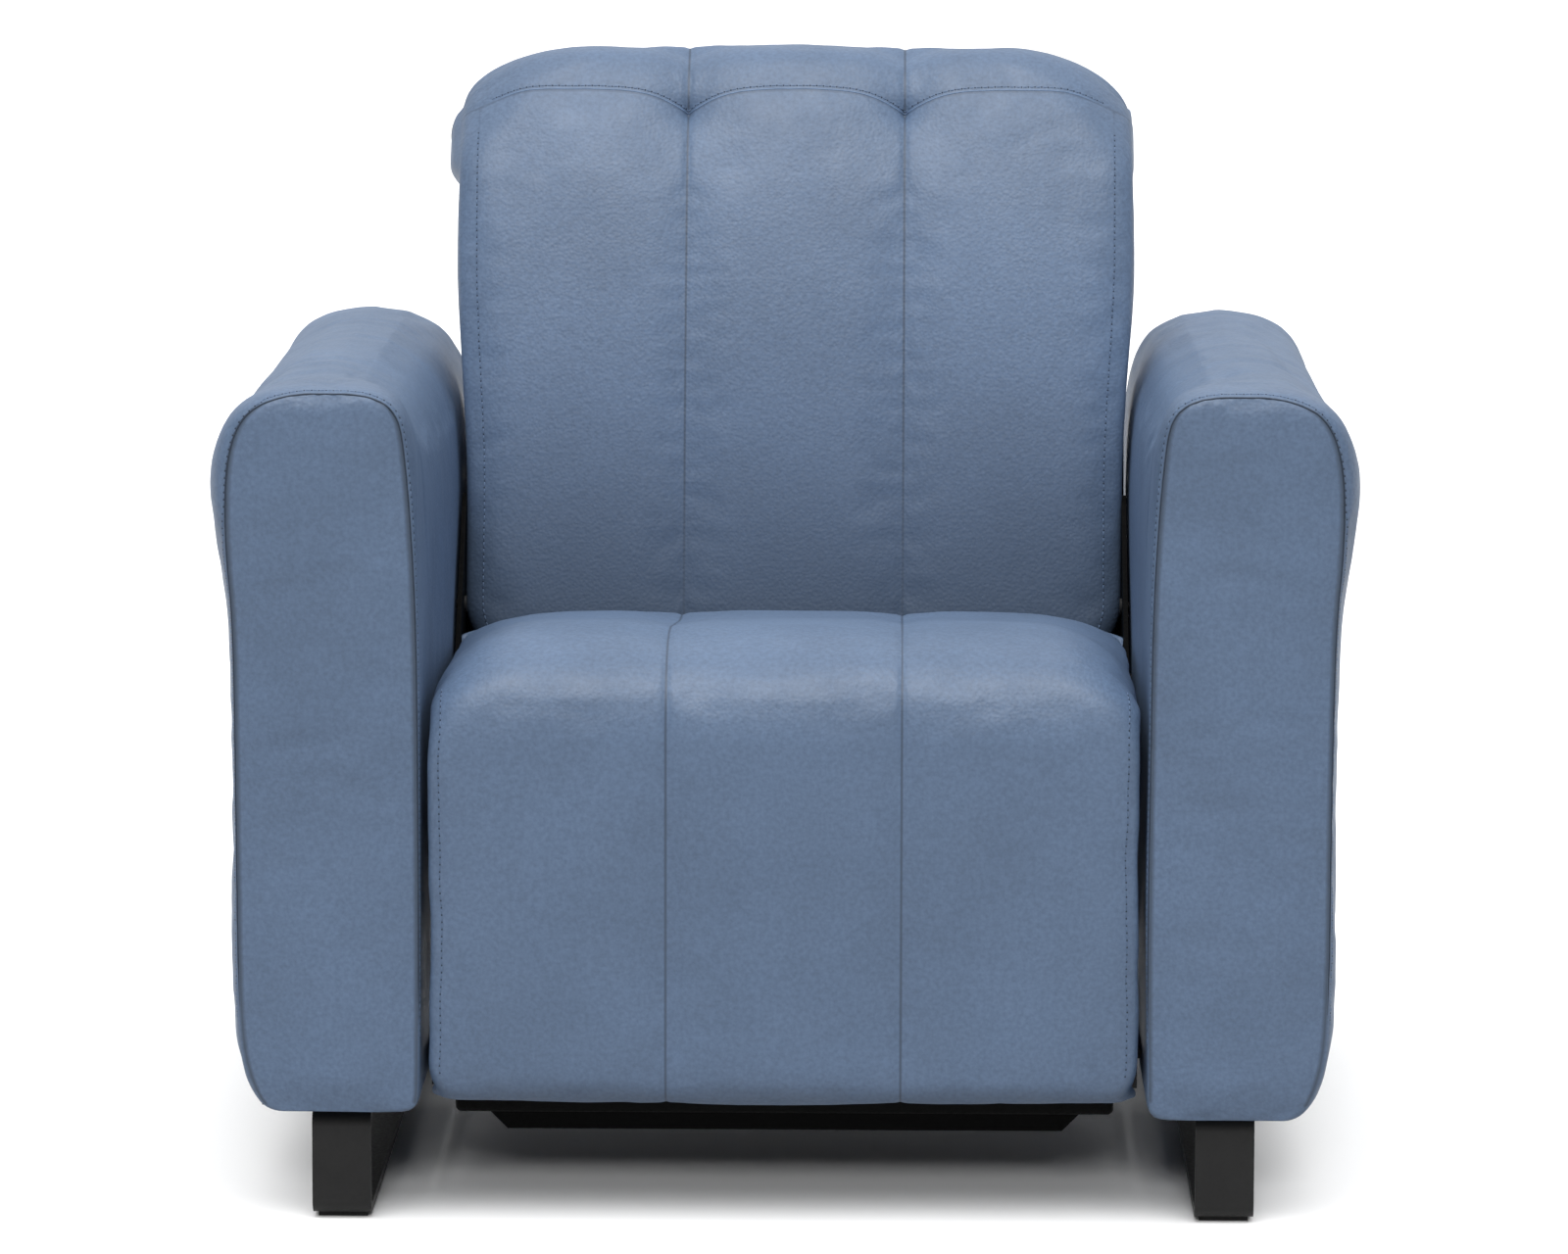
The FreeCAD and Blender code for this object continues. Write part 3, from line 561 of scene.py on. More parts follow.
def uneven(obj, seam_x, seed):
    """Slow unevenness and short puckers square to the two channel seams, moved along the normals."""
    co = coordinates(obj)
    move = 0.0005 * wave(co * 28.0, seed)
    along = co[:, 1] + co[:, 2]
    ripple = np.sin(along * 330.0 + 2.0 * np.sin(along * 41.0 + seed) + 1.3 * np.sin(along * 97.0))
    patchy = 0.2 + 0.8 * np.sin(along * 23.0 + seed) ** 2
    for x in (seam_x, -seam_x):
        beside = bump(np.abs(co[:, 0] - x) - 0.006, 0.007)
        move += 0.00012 * ripple * beside * patchy
    set_coordinates(obj, co + normals(obj) * move[:, None])


def ring(centre, across, up, radius):
    """Points of a small circle; across and up are its two directions."""
    angles = [turn * 2 * math.pi / TUBE_SIDES for turn in range(TUBE_SIDES)]
    return [centre + (across * math.cos(angle) + up * math.sin(angle)) * radius for angle in angles]


def walls(base, rings):
    """Faces between the rings of a tube whose first point has the index base."""
    faces = []
    for start in range(base, base + TUBE_SIDES * (rings - 1), TUBE_SIDES):
        for turn in range(TUBE_SIDES):
            p = start + turn
            q = start + (turn + 1) % TUBE_SIDES
            faces.append((p, q, q + TUBE_SIDES, p + TUBE_SIDES))
    return faces


def tube(verts, faces, centres, axes, radii):
    """Adds a closed tube round the centres; axes are its two cross directions."""
    base = len(verts)
    for centre, radius in zip(centres, radii):
        verts += ring(centre, *axes, radius)
    last = base + TUBE_SIDES * (len(radii) - 1)
    faces += walls(base, len(radii))
    faces.append(tuple(base + turn for turn in reversed(range(TUBE_SIDES))))
    faces.append(tuple(last + turn for turn in range(TUBE_SIDES)))


def stitches(name, skin, lines, shift):
    """Low threads along lines on a skin with a needle hole between each two, drawn as a dark disc of painted
    shade;
    shift moves a line sideways before it meets the skin."""
    tree = BVHTree.FromObject(skin, bpy.context.evaluated_depsgraph_get())
    verts, faces, holes = [], [], []
    for line in lines:
        length = np.linalg.norm(np.diff(line, axis=0), axis=1).sum()
        points = resampled(line, max(2, int(length / STITCH_PITCH)))
        for a, b in zip(points, points[1:]):
            where, normal, _, gap = tree.find_nearest(Vector((a + b) / 2) + shift)
            if where is None or gap > 0.02:
                continue
            along = Vector(b - a).normalized()
            along = (along - normal * along.dot(normal)).normalized()
            across = normal.cross(along)
            centres = [where + along * (s * STITCH_LENGTH / 2) + normal * (0.0001 - 0.0003 * s * s)
                       for s in (-1.0, -0.72, 0.0, 0.72, 1.0)]
            radii = [STITCH_RADIUS * s for s in (0.12, 0.85, 1.0, 0.85, 0.12)]
            tube(verts, faces, centres, (across, normal), radii)
            hole = where + along * STITCH_PITCH / 2
            first = len(faces)
            tube(verts, faces, [hole - normal * 0.001, hole + normal * 0.00022], (across, along),
                 [HOLE_RADIUS, HOLE_RADIUS])
            holes += range(first, len(faces))
    obj = make_object(name, verts, faces, thread)
    obj.data.materials.append(needle_hole_shade)
    for face in holes:
        obj.data.polygons[face].material_index = 1
    return obj


def piping(name, skin, line, shift, material, radius, count=260):
    """A thin raised edge along a line on a skin, thinner at both ends."""
    tree = BVHTree.FromObject(skin, bpy.context.evaluated_depsgraph_get())
    path = []
    for point in resampled(line, count):
        where, normal, _, _ = tree.find_nearest(Vector(point) + shift)
        path.append((where - normal * 0.0002, normal))
    verts = []
    for i, (centre, normal) in enumerate(path):
        ahead = path[min(i + 1, count - 1)][0] - path[max(i - 1, 0)][0]
        along = (ahead - normal * ahead.dot(normal)).normalized()
        thinner = min(1.0, 0.1 + min(i, count - 1 - i) / 12.0)
        verts += ring(centre, normal.cross(along), normal, radius * thinner)
    return make_object(name, verts, walls(0, count), material)


def end_fade(rows):
    """Nothing at the first and the last row, full from the fifth row on."""
    return smooth(np.minimum(rows / 5.0, (len(rows) - 1 - rows) / 5.0))


def end_drop(x, half, depth, reach):
    """How far a rounded end falls away at x."""
    t = np.clip((np.abs(x) - (half - reach)) / reach, 0.0, 1.0)
    return depth * (1 - np.sqrt(np.maximum(1 - t ** 2, 0.0)))


def seam_groove(distance):
    """A narrow sewn groove with soft shoulders."""
    return 0.0016 * bump(distance, 0.0030) + 0.0008 * bump(distance, 0.018)


def across_bay(x, seam_x, half):
    """How far a station stands from the middle of its channel, which is 1 at a seam."""
    x = abs(x)
    if x < seam_x:
        return x / seam_x
    return min(1.0, abs(2 * (x - seam_x) / (half - seam_x) - 1))


def edge_wobble(t, seed):
    """Slow unevenness along an edge, about -1 to 1."""
    return 0.5 * np.sin(31.0 * t + seed) + 0.3 * np.sin(73.0 * t + 2.1 * seed) + 0.2 * np.sin(131.0 * t)


def cross_stations(half, seam_x):
    """Stations across the chair: close together at the seams and towards both edges."""
    near = np.array([0.0, 0.0022, 0.005, 0.009])
    bay = np.linspace(0.0, seam_x - near[-1], 11)[:-1]
    side = np.linspace(seam_x + near[-1], half - EDGE_REACH, 13)[1:]
    edge = half - EDGE_REACH * (1 - np.sin(np.linspace(0, math.pi / 2, 11)))[1:]
    right = np.concatenate([bay, seam_x - near[::-1], seam_x + near[1:], side, edge])
    return np.concatenate([-right[:0:-1], right])


# Seat and legrest: one skin from the rear of the seat over the front edge to the foot of the legrest.

def seat_paths():
    """Outer and inner side paths in the y-z plane, in pairs of matching points."""
    y = ORIGIN_Y
    top = soft_curve([(0.067 + y, 0.399), (0.069 + y, 0.425), (0.050 + y, 0.437), (-0.060 + y, 0.444),
                      (-0.240 + y, 0.468), (-0.345 + y, 0.4785), (-0.415 + y, 0.470), (-0.449 + y, 0.438),
                      (-0.4545 + y, 0.400)])
    front = soft_curve([(-0.4545 + y, 0.400), (-0.4550 + y, 0.360), (-0.4545 + y, 0.260),
                        (-0.4530 + y, 0.130), (-0.450 + y, 0.105), (-0.438 + y, 0.0955),
                        (-0.403 + y, 0.095)])
    under = soft_curve([(0.062 + y, 0.398), (-0.200 + y, 0.398), (-0.377 + y, 0.398), (-0.391 + y, 0.402)])
    behind = soft_curve([(-0.391 + y, 0.402), (-0.3985 + y, 0.396), (-0.3985 + y, 0.300),
                         (-0.3985 + y, 0.180), (-0.3985 + y, 0.099)])
    outer = np.concatenate([resampled(top, SEAT_ROWS), resampled(front, LEGREST_ROWS)[1:]])
    inner = np.concatenate([resampled(under, SEAT_ROWS), resampled(behind, LEGREST_ROWS)[1:]])
    return outer, inner


def seat_sections(xs):
    """Outer and inner points of the skin at the stations across the seat and legrest."""
    outer_path, inner_path = seat_paths()
    normal = outward(outer_path, SEAT_ROWS // 2, (0.0, 1.0))
    rows = np.arange(len(outer_path))
    fade = end_fade(rows)
    thickness = np.linalg.norm(outer_path - inner_path, axis=1)
    on_front = smooth((rows - (SEAT_ROWS - 14)) / 16.0)
    depth = np.minimum(0.058 * (1 - on_front) + 0.010 * on_front, 0.66 * thickness)
    reach = EDGE_REACH * (1 - on_front) + 0.018 * on_front
    outer = np.zeros((len(xs), len(rows), 3))
    inner = np.zeros((len(xs), len(rows), 3))
    for i, x in enumerate(xs):
        crown = 0.0008 * across_bay(x, SEAM_X, CUSHION_HALF) ** 2 + 0.003 * (x / CUSHION_HALF) ** 2
        inset = (seam_groove(abs(x) - SEAM_X) + crown) * fade + end_drop(x, CUSHION_HALF, depth, reach)
        narrow = 0.006 * smooth((0.130 - outer_path[:, 1]) / 0.035) * smooth((abs(x) - 0.20) / 0.08)
        rock = 0.0012 * edge_wobble(rows * 0.008, 1.0 + 2.0 * (x > 0)) * smooth((abs(x) - 0.26) / 0.02)
        outer[i, :, 0] = np.sign(x) * (abs(x) - narrow * fade + rock * fade)
        outer[i, :, 1:] = outer_path - normal * inset[:, None]
        inner[i, :, 0] = x * 0.97
        inner[i, :, 1:] = inner_path
    return outer, inner


def seat_marks(obj, shell, xs):
    """Stores the painted shade in the seam grooves and returns the pins of the cloth."""
    section, place = shell.places()
    x = np.abs(xs[section])
    outside = (place > 0) & (place < shell.points - 1)
    on_front = outside & (place > SEAT_ROWS - 10)
    from_seam = np.abs(x - SEAM_X)
    # Painted shade in the channel seams' grooves and along the side seams on the legrest front.
    channel = np.where(outside, bump(from_seam, SEAM_SHADE_WIDTH), 0.0)
    side = np.where(on_front, 0.72 * bump(x - SIDE_SEAM_X, 0.002), 0.0)
    store(obj, "seam", all_points(obj, np.maximum(channel, side), 0.0))
    free = outside & (from_seam > 0.001) & (x < CUSHION_HALF - 0.003)
    return all_points(obj, np.where(free, 0.0, 1.0), 1.0)


def seat_and_legrest():
    xs = cross_stations(CUSHION_HALF, SEAM_X)
    shell = Shell(*seat_sections(xs), SEAT_CLOSURE)
    obj = make_object("seat_and_legrest", shell.verts, shell.faces, leather_blue)
    inflate(obj, seat_marks(obj, shell, xs), 0.003, SEAT_PUFF)
    columns = [int(np.argmin(np.abs(xs - x))) for x in (-SIDE_SEAM_X, SIDE_SEAM_X)]
    rows = range(SEAT_ROWS - 8, shell.points - 8)
    lines = [skin_line(obj, [shell.index(column, row, 0) for row in rows]) for column in columns]
    subdivide(obj)
    uneven(obj, SEAM_X, 11)
    sewn = stitches("seat_stitches", obj, lines, Vector((0, 0, 0)))
    for piece in (obj, sewn):
        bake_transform(piece)
    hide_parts("seat_cushion", "legrest_pad")


# Back: built upright about the hip pivot, then leaned.

def leaned(points):
    y, z = points[..., 1], points[..., 2]
    c, s = math.cos(LEAN), math.sin(LEAN)
    return np.stack([points[..., 0], HIP[0] + y * c + z * s, HIP[1] - y * s + z * c], axis=-1)


def height_along_back(points):
    """Distance above the hip pivot, measured along the leaned back."""
    return (points[:, 1] - HIP[0]) * math.sin(LEAN) + (points[:, 2] - HIP[1]) * math.cos(LEAN)


def back_half_width(z):
    """Half width of the front edge: narrow between the arms, full above them."""
    nose = smooth((z + 0.02) / 0.06)
    low = 0.270 + (0.2885 - 0.270) * nose
    return low + (BACK_HALF - 0.2885) * smooth((z - 0.14) / 0.22)


def rear_half_width(z):
    """Half width of the rear edge: it covers the wooden side rails above the steel brackets."""
    low = 0.266 + (0.2865 - 0.266) * smooth((z + 0.02) / 0.06)
    return low + (0.291 - 0.2865) * smooth((z - 0.20) / 0.10)


def seam_height(x):
    """Height of the seam under the head roll: it dips at the two tufts and at both ends."""
    tuft = np.abs(np.abs(x) - BACK_SEAM_X)
    dip = 0.016 * np.exp(-tuft / 0.014) * (1 + tuft / 0.014)
    end = 0.008 * smooth((np.abs(x) - 0.235) / 0.05)
    return ROLL_SEAM - dip - end


def back_paths():
    """Outer and inner side paths of the upright back, in pairs of matching points."""
    front = soft_curve([(-0.004, -0.064), (-0.045, -0.058), (-0.064, -0.020), (-0.075, 0.080),
                        (-0.0810, 0.200), (-0.0780, 0.310), (-0.0690, 0.400), (-0.0560, 0.465),
                        (-0.0450, ROLL_SEAM)])
    roll = soft_curve([(-0.0450, ROLL_SEAM), (-0.0380, 0.521), (-0.0240, 0.542), (0.004, 0.5525),
                       (0.040, 0.554), (0.076, 0.546), (0.0985, 0.522), (0.1010, 0.488), (0.0960, 0.4635),
                       (0.0800, 0.4625)])
    behind = soft_curve([(0.016, -0.060), (0.034, -0.056), (0.0388, -0.044), (0.0390, 0.120), (0.0390, 0.174),
                         (0.0745, 0.176), (0.0748, 0.240), (0.0748, 0.440)])
    behind_top = soft_curve([(0.0748, 0.440), (0.0750, 0.452), (0.0755, 0.4615)])
    outer_path = np.concatenate([resampled(front, BACK_ROWS), resampled(roll, ROLL_ROWS)[1:]])
    inner_path = np.concatenate([resampled(behind, BACK_ROWS), resampled(behind_top, ROLL_ROWS)[1:]])
    return outer_path, inner_path


def spread(u, half):
    """Moves a station so that the outer bays fill the half width; the channel seams stay in place."""
    reach = (half - BACK_SEAM_X) / (BACK_HALF - BACK_SEAM_X)
    return np.where(abs(u) <= BACK_SEAM_X, u, np.sign(u) * (BACK_SEAM_X + (abs(u) - BACK_SEAM_X) * reach))


def back_sections(us):
    """Outer and inner points of the skin at the stations across the upright back."""
    outer_path, inner_path = back_paths()
    normal = outward(outer_path, BACK_ROWS // 2, (-1.0, 0.0))
    rows = np.arange(len(outer_path))
    fade = end_fade(rows)
    on_roll = smooth((rows - (ROLL_SEAM_ROW - 10)) / 18.0)
    over = smooth((rows - (ROLL_SEAM_ROW + ROLL_ROWS * 0.55)) / 10.0)
    depth = 0.016 * (1 - on_roll) + 0.058 * on_roll * (1 - over) + 0.030 * over
    reach = 0.030 * (1 - on_roll) + 0.118 * on_roll * (1 - over) + 0.08 * over
    from_seam = (rows - ROLL_SEAM_ROW) * ROW_STEP
    across_seam = 0.0012 * bump(from_seam, 0.004) + 0.0004 * bump(from_seam, 0.020)
    outer = np.zeros((len(us), len(rows), 3))
    inner = np.zeros((len(us), len(rows), 3))
    for i, u in enumerate(us):
        path = outer_path.copy()
        near_seam = smooth(1 - np.abs(path[:, 1] - ROLL_SEAM) / 0.09) * (path[:, 0] < 0.0)
        path[:, 1] += (seam_height(u) - ROLL_SEAM) * near_seam
        from_tuft = np.hypot(abs(u) - BACK_SEAM_X, from_seam)
        dimple = 0.0095 * np.exp(-from_tuft / 0.0060) + 0.0055 * np.exp(-from_tuft / 0.022)
        crown = 0.0010 * across_bay(u, BACK_SEAM_X, BACK_HALF) ** 2 + 0.005 * (u / BACK_HALF) ** 2
        one_sided = 1.0 + 0.12 * np.sign(u) * on_roll
        inset = (seam_groove(abs(u) - BACK_SEAM_X) + crown + across_seam) * fade + dimple
        inset += end_drop(u, BACK_HALF, depth * one_sided, reach)
        outer[i, :, 0] = spread(u, back_half_width(outer_path[:, 1]))
        outer[i, :, 1:] = path - normal * inset[:, None]
        inner[i, :, 0] = spread(u, rear_half_width(inner_path[:, 1]))
        inner[i, :, 1:] = inner_path
    return outer, inner


def puff_sides(shell):
    """Puffs the side faces of the back: a little along their height, more beside the head roll."""
    for grid in shell.caps:
        points = shell.verts[grid]
        across = np.sin(math.pi * np.linspace(0.0, 1.0, points.shape[1])) ** 0.6
        height = points[:, :, 2]
        sign = np.sign(points[:, :1, 0])
        roll = smooth((height - 0.414) / 0.026) * smooth((0.575 - height) / 0.10)
        panel = smooth((height - 0.22) / 0.12) * smooth((0.414 - height) / 0.02)
        bulge = 0.0100 - 0.0055 * sign
        points[:, :, 0] += sign * across[None, :] * (bulge * roll + 0.0035 * panel)
        shell.verts[grid] = points


def back_marks(obj, shell, us):
    """Stores the painted shade along the seams and on the low part of the back, and returns the pins of the
    cloth.
    """
    section, place = shell.places()
    u = np.abs(us[section])
    outside = (place > 0) & (place < shell.points - 1)
    from_seam = np.abs(u - BACK_SEAM_X)
    up_to_top = place < ROLL_SEAM_ROW + ROLL_ROWS * 0.9
    # Painted shade in the channel seams' grooves, under the head roll's seam and along the side seams.
    seam = np.where(outside & up_to_top, bump(from_seam, SEAM_SHADE_WIDTH), 0.0)
    seam = np.maximum(seam, np.where(place == ROLL_SEAM_ROW, 0.78, 0.0))
    on_side_seam = (np.abs(u - us[-5]) < 1e-6) & (place < ROLL_SEAM_ROW)
    seam = np.maximum(seam, np.where(on_side_seam, 0.66, 0.0))
    store(obj, "seam", all_points(obj, seam, 0.0))
    # Painted shade: the back is drawn darker towards the bottom, where it lies in the shade of the arms and
    # the seat.
    height = height_along_back(coordinates(obj))
    store(obj, "tone", 0.85 * smooth((0.30 - height) / 0.30))
    free = outside & (from_seam > 0.001) & (place != ROLL_SEAM_ROW) & (u < BACK_HALF - 0.006)
    return all_points(obj, np.where(free, 0.0, 1.0), 1.0)


def back():
    us = cross_stations(BACK_HALF, BACK_SEAM_X)
    shell = Shell(*back_sections(us), BACK_CLOSURE)
    puff_sides(shell)
    obj = make_object("back_cushion_skin", leaned(shell.verts), shell.faces, leather_blue)
    inflate(obj, back_marks(obj, shell, us), 0.003, BACK_PUFF)
    first, last = 4, len(us) - 5
    rows = range(8, ROLL_SEAM_ROW - 3)
    sides = [skin_line(obj, [shell.index(column, row, 0) for row in rows]) for column in (first, last)]
    top = skin_line(obj, [shell.index(column, ROLL_SEAM_ROW, 0) for column in range(first + 1, last)])
    subdivide(obj)
    uneven(obj, BACK_SEAM_X, 5)
    sewn = stitches("back_stitches", obj, sides, Vector((0, 0, 0)))
    seamed = stitches("head_roll_stitches", obj, [top], Vector((0, 0.001, 0.0042)))
    # The strip along the head roll's seam is a painted highlight.
    edge = piping("head_roll_edge", obj, top, Vector((0, 0.0, 0.0012)), painted_highlight_edge, PIPING_RADIUS)
    for piece in (obj, sewn, seamed, edge):
        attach(piece, "back")
    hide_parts("back_cushion", "head_roll")


def dust_and_shade_flaps():
    """Black cloth strips, like the dust flaps of a recliner, that hang from the back beside the arms and
    close the gaps from behind; they stand in for the shade in those gaps as painted shade.
    """
    for name, sign in (("left", -1.0), ("right", 1.0)):
        corners = np.array([(x, y, z) for z in FLAP_Z for y in FLAP_Y for x in FLAP_X])
        corners[:, 0] *= sign
        faces = [(0, 1, 3, 2), (4, 6, 7, 5), (0, 4, 5, 1), (2, 3, 7, 6), (0, 2, 6, 4), (1, 5, 7, 3)]
        flap = make_object(name + "_dust_and_shade_flap", leaned(corners), faces, dust_cloth_and_shade)
        flap.data.shade_flat()
        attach(flap, "back")


# Arms: a puffed pad over the top, a flatter lower side and a seamed front panel. Each half of the
# section is a control polygon in x and z from the underside up: at the panel's rim, in the body and at
# the rear end.

OUTER_SEAM = [(0.410, 0.0910), (0.421, 0.0940), (0.431, 0.113), (0.4395, 0.142), (0.4425, 0.195),
              (0.4435, 0.320), (0.4440, 0.430), (0.4455, 0.500), (0.4510, 0.565), (0.4490, 0.628),
              (0.4350, 0.664), (0.4060, 0.6765), (0.3850, 0.6790)]
OUTER_BODY = [(0.410, 0.0905), (0.424, 0.0915), (0.4360, 0.108), (0.4445, 0.138), (0.4475, 0.195),
              (0.4475, 0.320), (0.4475, 0.425), (0.4490, 0.490), (0.4580, 0.556), (0.4650, 0.614),
              (0.4505, 0.664), (0.4160, 0.6815), (0.3850, 0.6840)]
OUTER_REAR = [(0.410, 0.0905), (0.424, 0.0915), (0.4360, 0.108), (0.4445, 0.138), (0.4475, 0.195),
              (0.4475, 0.320), (0.4475, 0.425), (0.4490, 0.490), (0.4580, 0.548), (0.4690, 0.604),
              (0.4580, 0.648), (0.4230, 0.6655), (0.3850, 0.6680)]
INNER_SEAM = [(0.330, 0.0910), (0.304, 0.0920), (0.2972, 0.0965), (0.2962, 0.118), (0.2955, 0.190),
              (0.2960, 0.320), (0.2965, 0.430), (0.2975, 0.500), (0.3005, 0.565), (0.3050, 0.625),
              (0.3110, 0.665), (0.3320, 0.6770), (0.3530, 0.6790)]
INNER_BODY = [(0.330, 0.0905), (0.303, 0.0910), (0.2955, 0.0955), (0.2945, 0.116), (0.2945, 0.190),
              (0.2945, 0.320), (0.2945, 0.430), (0.2945, 0.500), (0.2955, 0.565), (0.2975, 0.622),
              (0.3060, 0.669), (0.3280, 0.6825), (0.3530, 0.6840)]
INNER_REAR = [(0.330, 0.0905), (0.303, 0.0910), (0.2955, 0.0955), (0.2945, 0.116), (0.2945, 0.190),
              (0.2945, 0.320), (0.2945, 0.430), (0.2945, 0.495), (0.2950, 0.550), (0.2985, 0.596),
              (0.3060, 0.625), (0.3230, 0.6500), (0.3530, 0.6635)]


def arm_path(keys, depth):
    """One side of the arm's section at a distance behind the front panel."""
    seam, body, rear = (np.array(key) for key in keys)
    end = min(depth, ARM_LENGTH - depth)
    puff = math.sqrt(max(1 - (1 - min(1.0, end / ARM_PUFF)) ** 2, 0.0))
    lower = (rear - body) * smooth((depth - 0.03) / 0.22)
    return resampled(soft_curve(lower + seam * (1 - puff) + body * puff), ARM_POINTS)


def arm_depths():
    """Distances of the sections behind the front panel, close together near both ends."""
    edge = ARM_PUFF * np.array([0.0, 0.07, 0.17, 0.31, 0.48, 0.68, 0.95])
    middle = np.linspace(edge[-1] + 0.010, ARM_LENGTH - edge[-1] - 0.010, ARM_SECTIONS)
    return np.concatenate([edge, middle, ARM_LENGTH - edge[::-1]])


def arm_side(keys, depths, sign, seed, lean):
    """Points of the outer or the inner side, section by section."""
    side = np.zeros((len(depths), ARM_POINTS, 3))
    drop = 0.003 if sign > 0 else 0.0
    for i, depth in enumerate(depths):
        x, z = arm_path(keys, depth).T
        wavy = 0.0012 * edge_wobble(x * 0.9 + depth * 0.6, seed) * smooth((0.12 - z) / 0.02)
        moved = lean * smooth((depth - 0.03) / 0.5) * smooth((z - 0.45) / 0.15)
        side[i, :, 0] = sign * (x - moved * smooth((x - 0.295) / 0.035))
        side[i, :, 1] = ARM_FRONT + depth
        side[i, :, 2] = z + wavy - drop * smooth((0.30 - z) / 0.2)
    return side


def crown_arm(shell, depths):
    """Crowns the front and rear panels and the middle of the top."""
    for grid, direction in zip(shell.caps, (-1.0, 1.0)):
        rows, columns = grid.shape
        across = np.sin(np.linspace(0, math.pi, columns)) ** 0.55
        up = smooth(np.arange(rows) / 7.0) * smooth((rows - 1 - np.arange(rows)) / 10.0)
        shell.verts[grid, 1] += direction * 0.0060 * np.outer(up, across)
    section, place = shell.places()
    t = (place - 2 * shell.points - shell.closure + 1) / (shell.closure + 1.0)
    from_end = np.minimum(depths, ARM_LENGTH - depths)[section]
    on_top = place >= 2 * shell.points + shell.closure
    rise = 0.0022 * 4 * t * (1 - t) * smooth(from_end / 0.02)
    shell.verts[:len(place), 2] += np.where(on_top, rise, 0.0)


def arm_marks(obj, shell, depths):
    """Stores the painted shade along the front and rear panel edges and returns the pins of the cloth."""
    section, place = shell.places()
    co = coordinates(obj)
    height = co[:len(place), 2]
    behind = depths[section]
    # Painted shade in the creases where the front and rear panels meet the body.
    rims = np.maximum(bump(behind, 0.0018), bump(ARM_LENGTH - behind, 0.0018))
    store(obj, "seam", all_points(obj, np.where(height > ARM_BOTTOM + 0.006, rims, 0.0), 0.0))
    on_end = (section == 0) | (section == len(depths) - 1)
    pins = all_points(obj, np.where(on_end | (height < ARM_BOTTOM + 0.012), 1.0, 0.0), 0.0)
    return np.where((np.abs(co[:, 0]) < 0.300) & (co[:, 2] < 0.62), 1.0, pins)


def front_rim(obj, shell):
    """The front panel's rim, up one side, over the top and down the other."""
    rim = range(12, shell.points)
    points = [shell.index(0, row, 0) for row in rim]
    points += [shell.index(0, shell.points - 1, column) for column in range(1, shell.closure + 1)]
    points += [shell.index(0, row, shell.closure + 1) for row in reversed(rim)]
    return skin_line(obj, points)


def front_puckers(x, z, facing_front, seed):
    """Short folds that fan down from the top of the front panel's rim."""
    below = (0.677 - z) + 0.35 * np.maximum(np.abs(x - 0.372) - 0.045, 0.0)
    fan = np.sin(x * 420.0 + 2.0 * np.sin(x * 90.0 + seed) + (z - 0.65) * (x - 0.372) * 2600.0)
    patchy = 0.4 + 0.6 * np.sin(x * 55.0 + seed) ** 2
    return 0.00055 * facing_front * patchy * fan * bump(below - 0.012, 0.014)


def top_folds(x, y, z, rng):
    """A few soft folds across the top, at random places."""
    on_top = smooth((z - 0.61) / 0.05)
    move = np.zeros(len(x))
    for _ in range(9):
        start = rng.uniform(0.05, 0.78)
        bend = y - start + 0.30 * (x - 0.378) ** 2 / 0.06 + rng.uniform(-0.25, 0.25) * (x - 0.378)
        reach = bump(x - rng.uniform(0.335, 0.425), rng.uniform(0.035, 0.070))
        width = rng.uniform(0.007, 0.014)
        fold = bump(bend, width) - 0.6 * bump(bend - 1.7 * width, width)
        move -= rng.uniform(0.0004, 0.0011) * on_top * reach * fold
    return move


def arm_wrinkles(obj, sign, seed):
    """Slow unevenness, puckers under the front rim, folds over the top and a crease inside."""
    co = coordinates(obj)
    no = normals(obj)
    x, y, z = np.abs(co[:, 0]), co[:, 1] - ARM_FRONT, co[:, 2]
    facing_front = smooth((-no[:, 1] - 0.6) / 0.3)
    facing_seat = no[:, 0] * sign < -0.4
    move = 0.0006 * wave(co * 24.0, seed)
    move += front_puckers(x, z, facing_front, seed)
    move += top_folds(x, y, z, np.random.default_rng(seed))
    move -= 0.0022 * bump(y - 0.115 - 0.10 * (0.60 - z), 0.007) * bump(z - 0.575, 0.050) * facing_seat
    set_coordinates(obj, co + no * move[:, None])


def arm(name, sign, seed, lean):
    """One arm; lean is how far the top of its rear end stands towards the seat."""
    depths = arm_depths()
    outer = arm_side((OUTER_SEAM, OUTER_BODY, OUTER_REAR), depths, sign, seed, lean)
    inner = arm_side((INNER_SEAM, INNER_BODY, INNER_REAR), depths, sign, seed, lean)
    shell = Shell(outer, inner, ARM_CLOSURE)
    crown_arm(shell, depths)
    obj = make_object(name + "_arm_skin", shell.verts, shell.faces, leather_blue)
    inflate(obj, arm_marks(obj, shell, depths), 0.004, ARM_CLOTH_PUFF)
    line = front_rim(obj, shell)
    subdivide(obj)
    arm_wrinkles(obj, sign, seed)
    sewn = stitches(name + "_arm_stitches", obj, [line], Vector((0, 0.0045, 0)))
    # The dark tube along the front rim is painted shade in the seam's crease.
    seamed = piping(name + "_arm_seam", obj, line, Vector((0, 0.0005, 0)), seam_painted_shade, SEAM_RADIUS)
    for piece in (obj, sewn, seamed):
        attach(piece, "base")
    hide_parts(name + "_arm_cover")


seat_and_legrest()
back()
dust_and_shade_flaps()
arm("left", -1.0, 3, 0.0)
arm("right", 1.0, 8, 0.006)

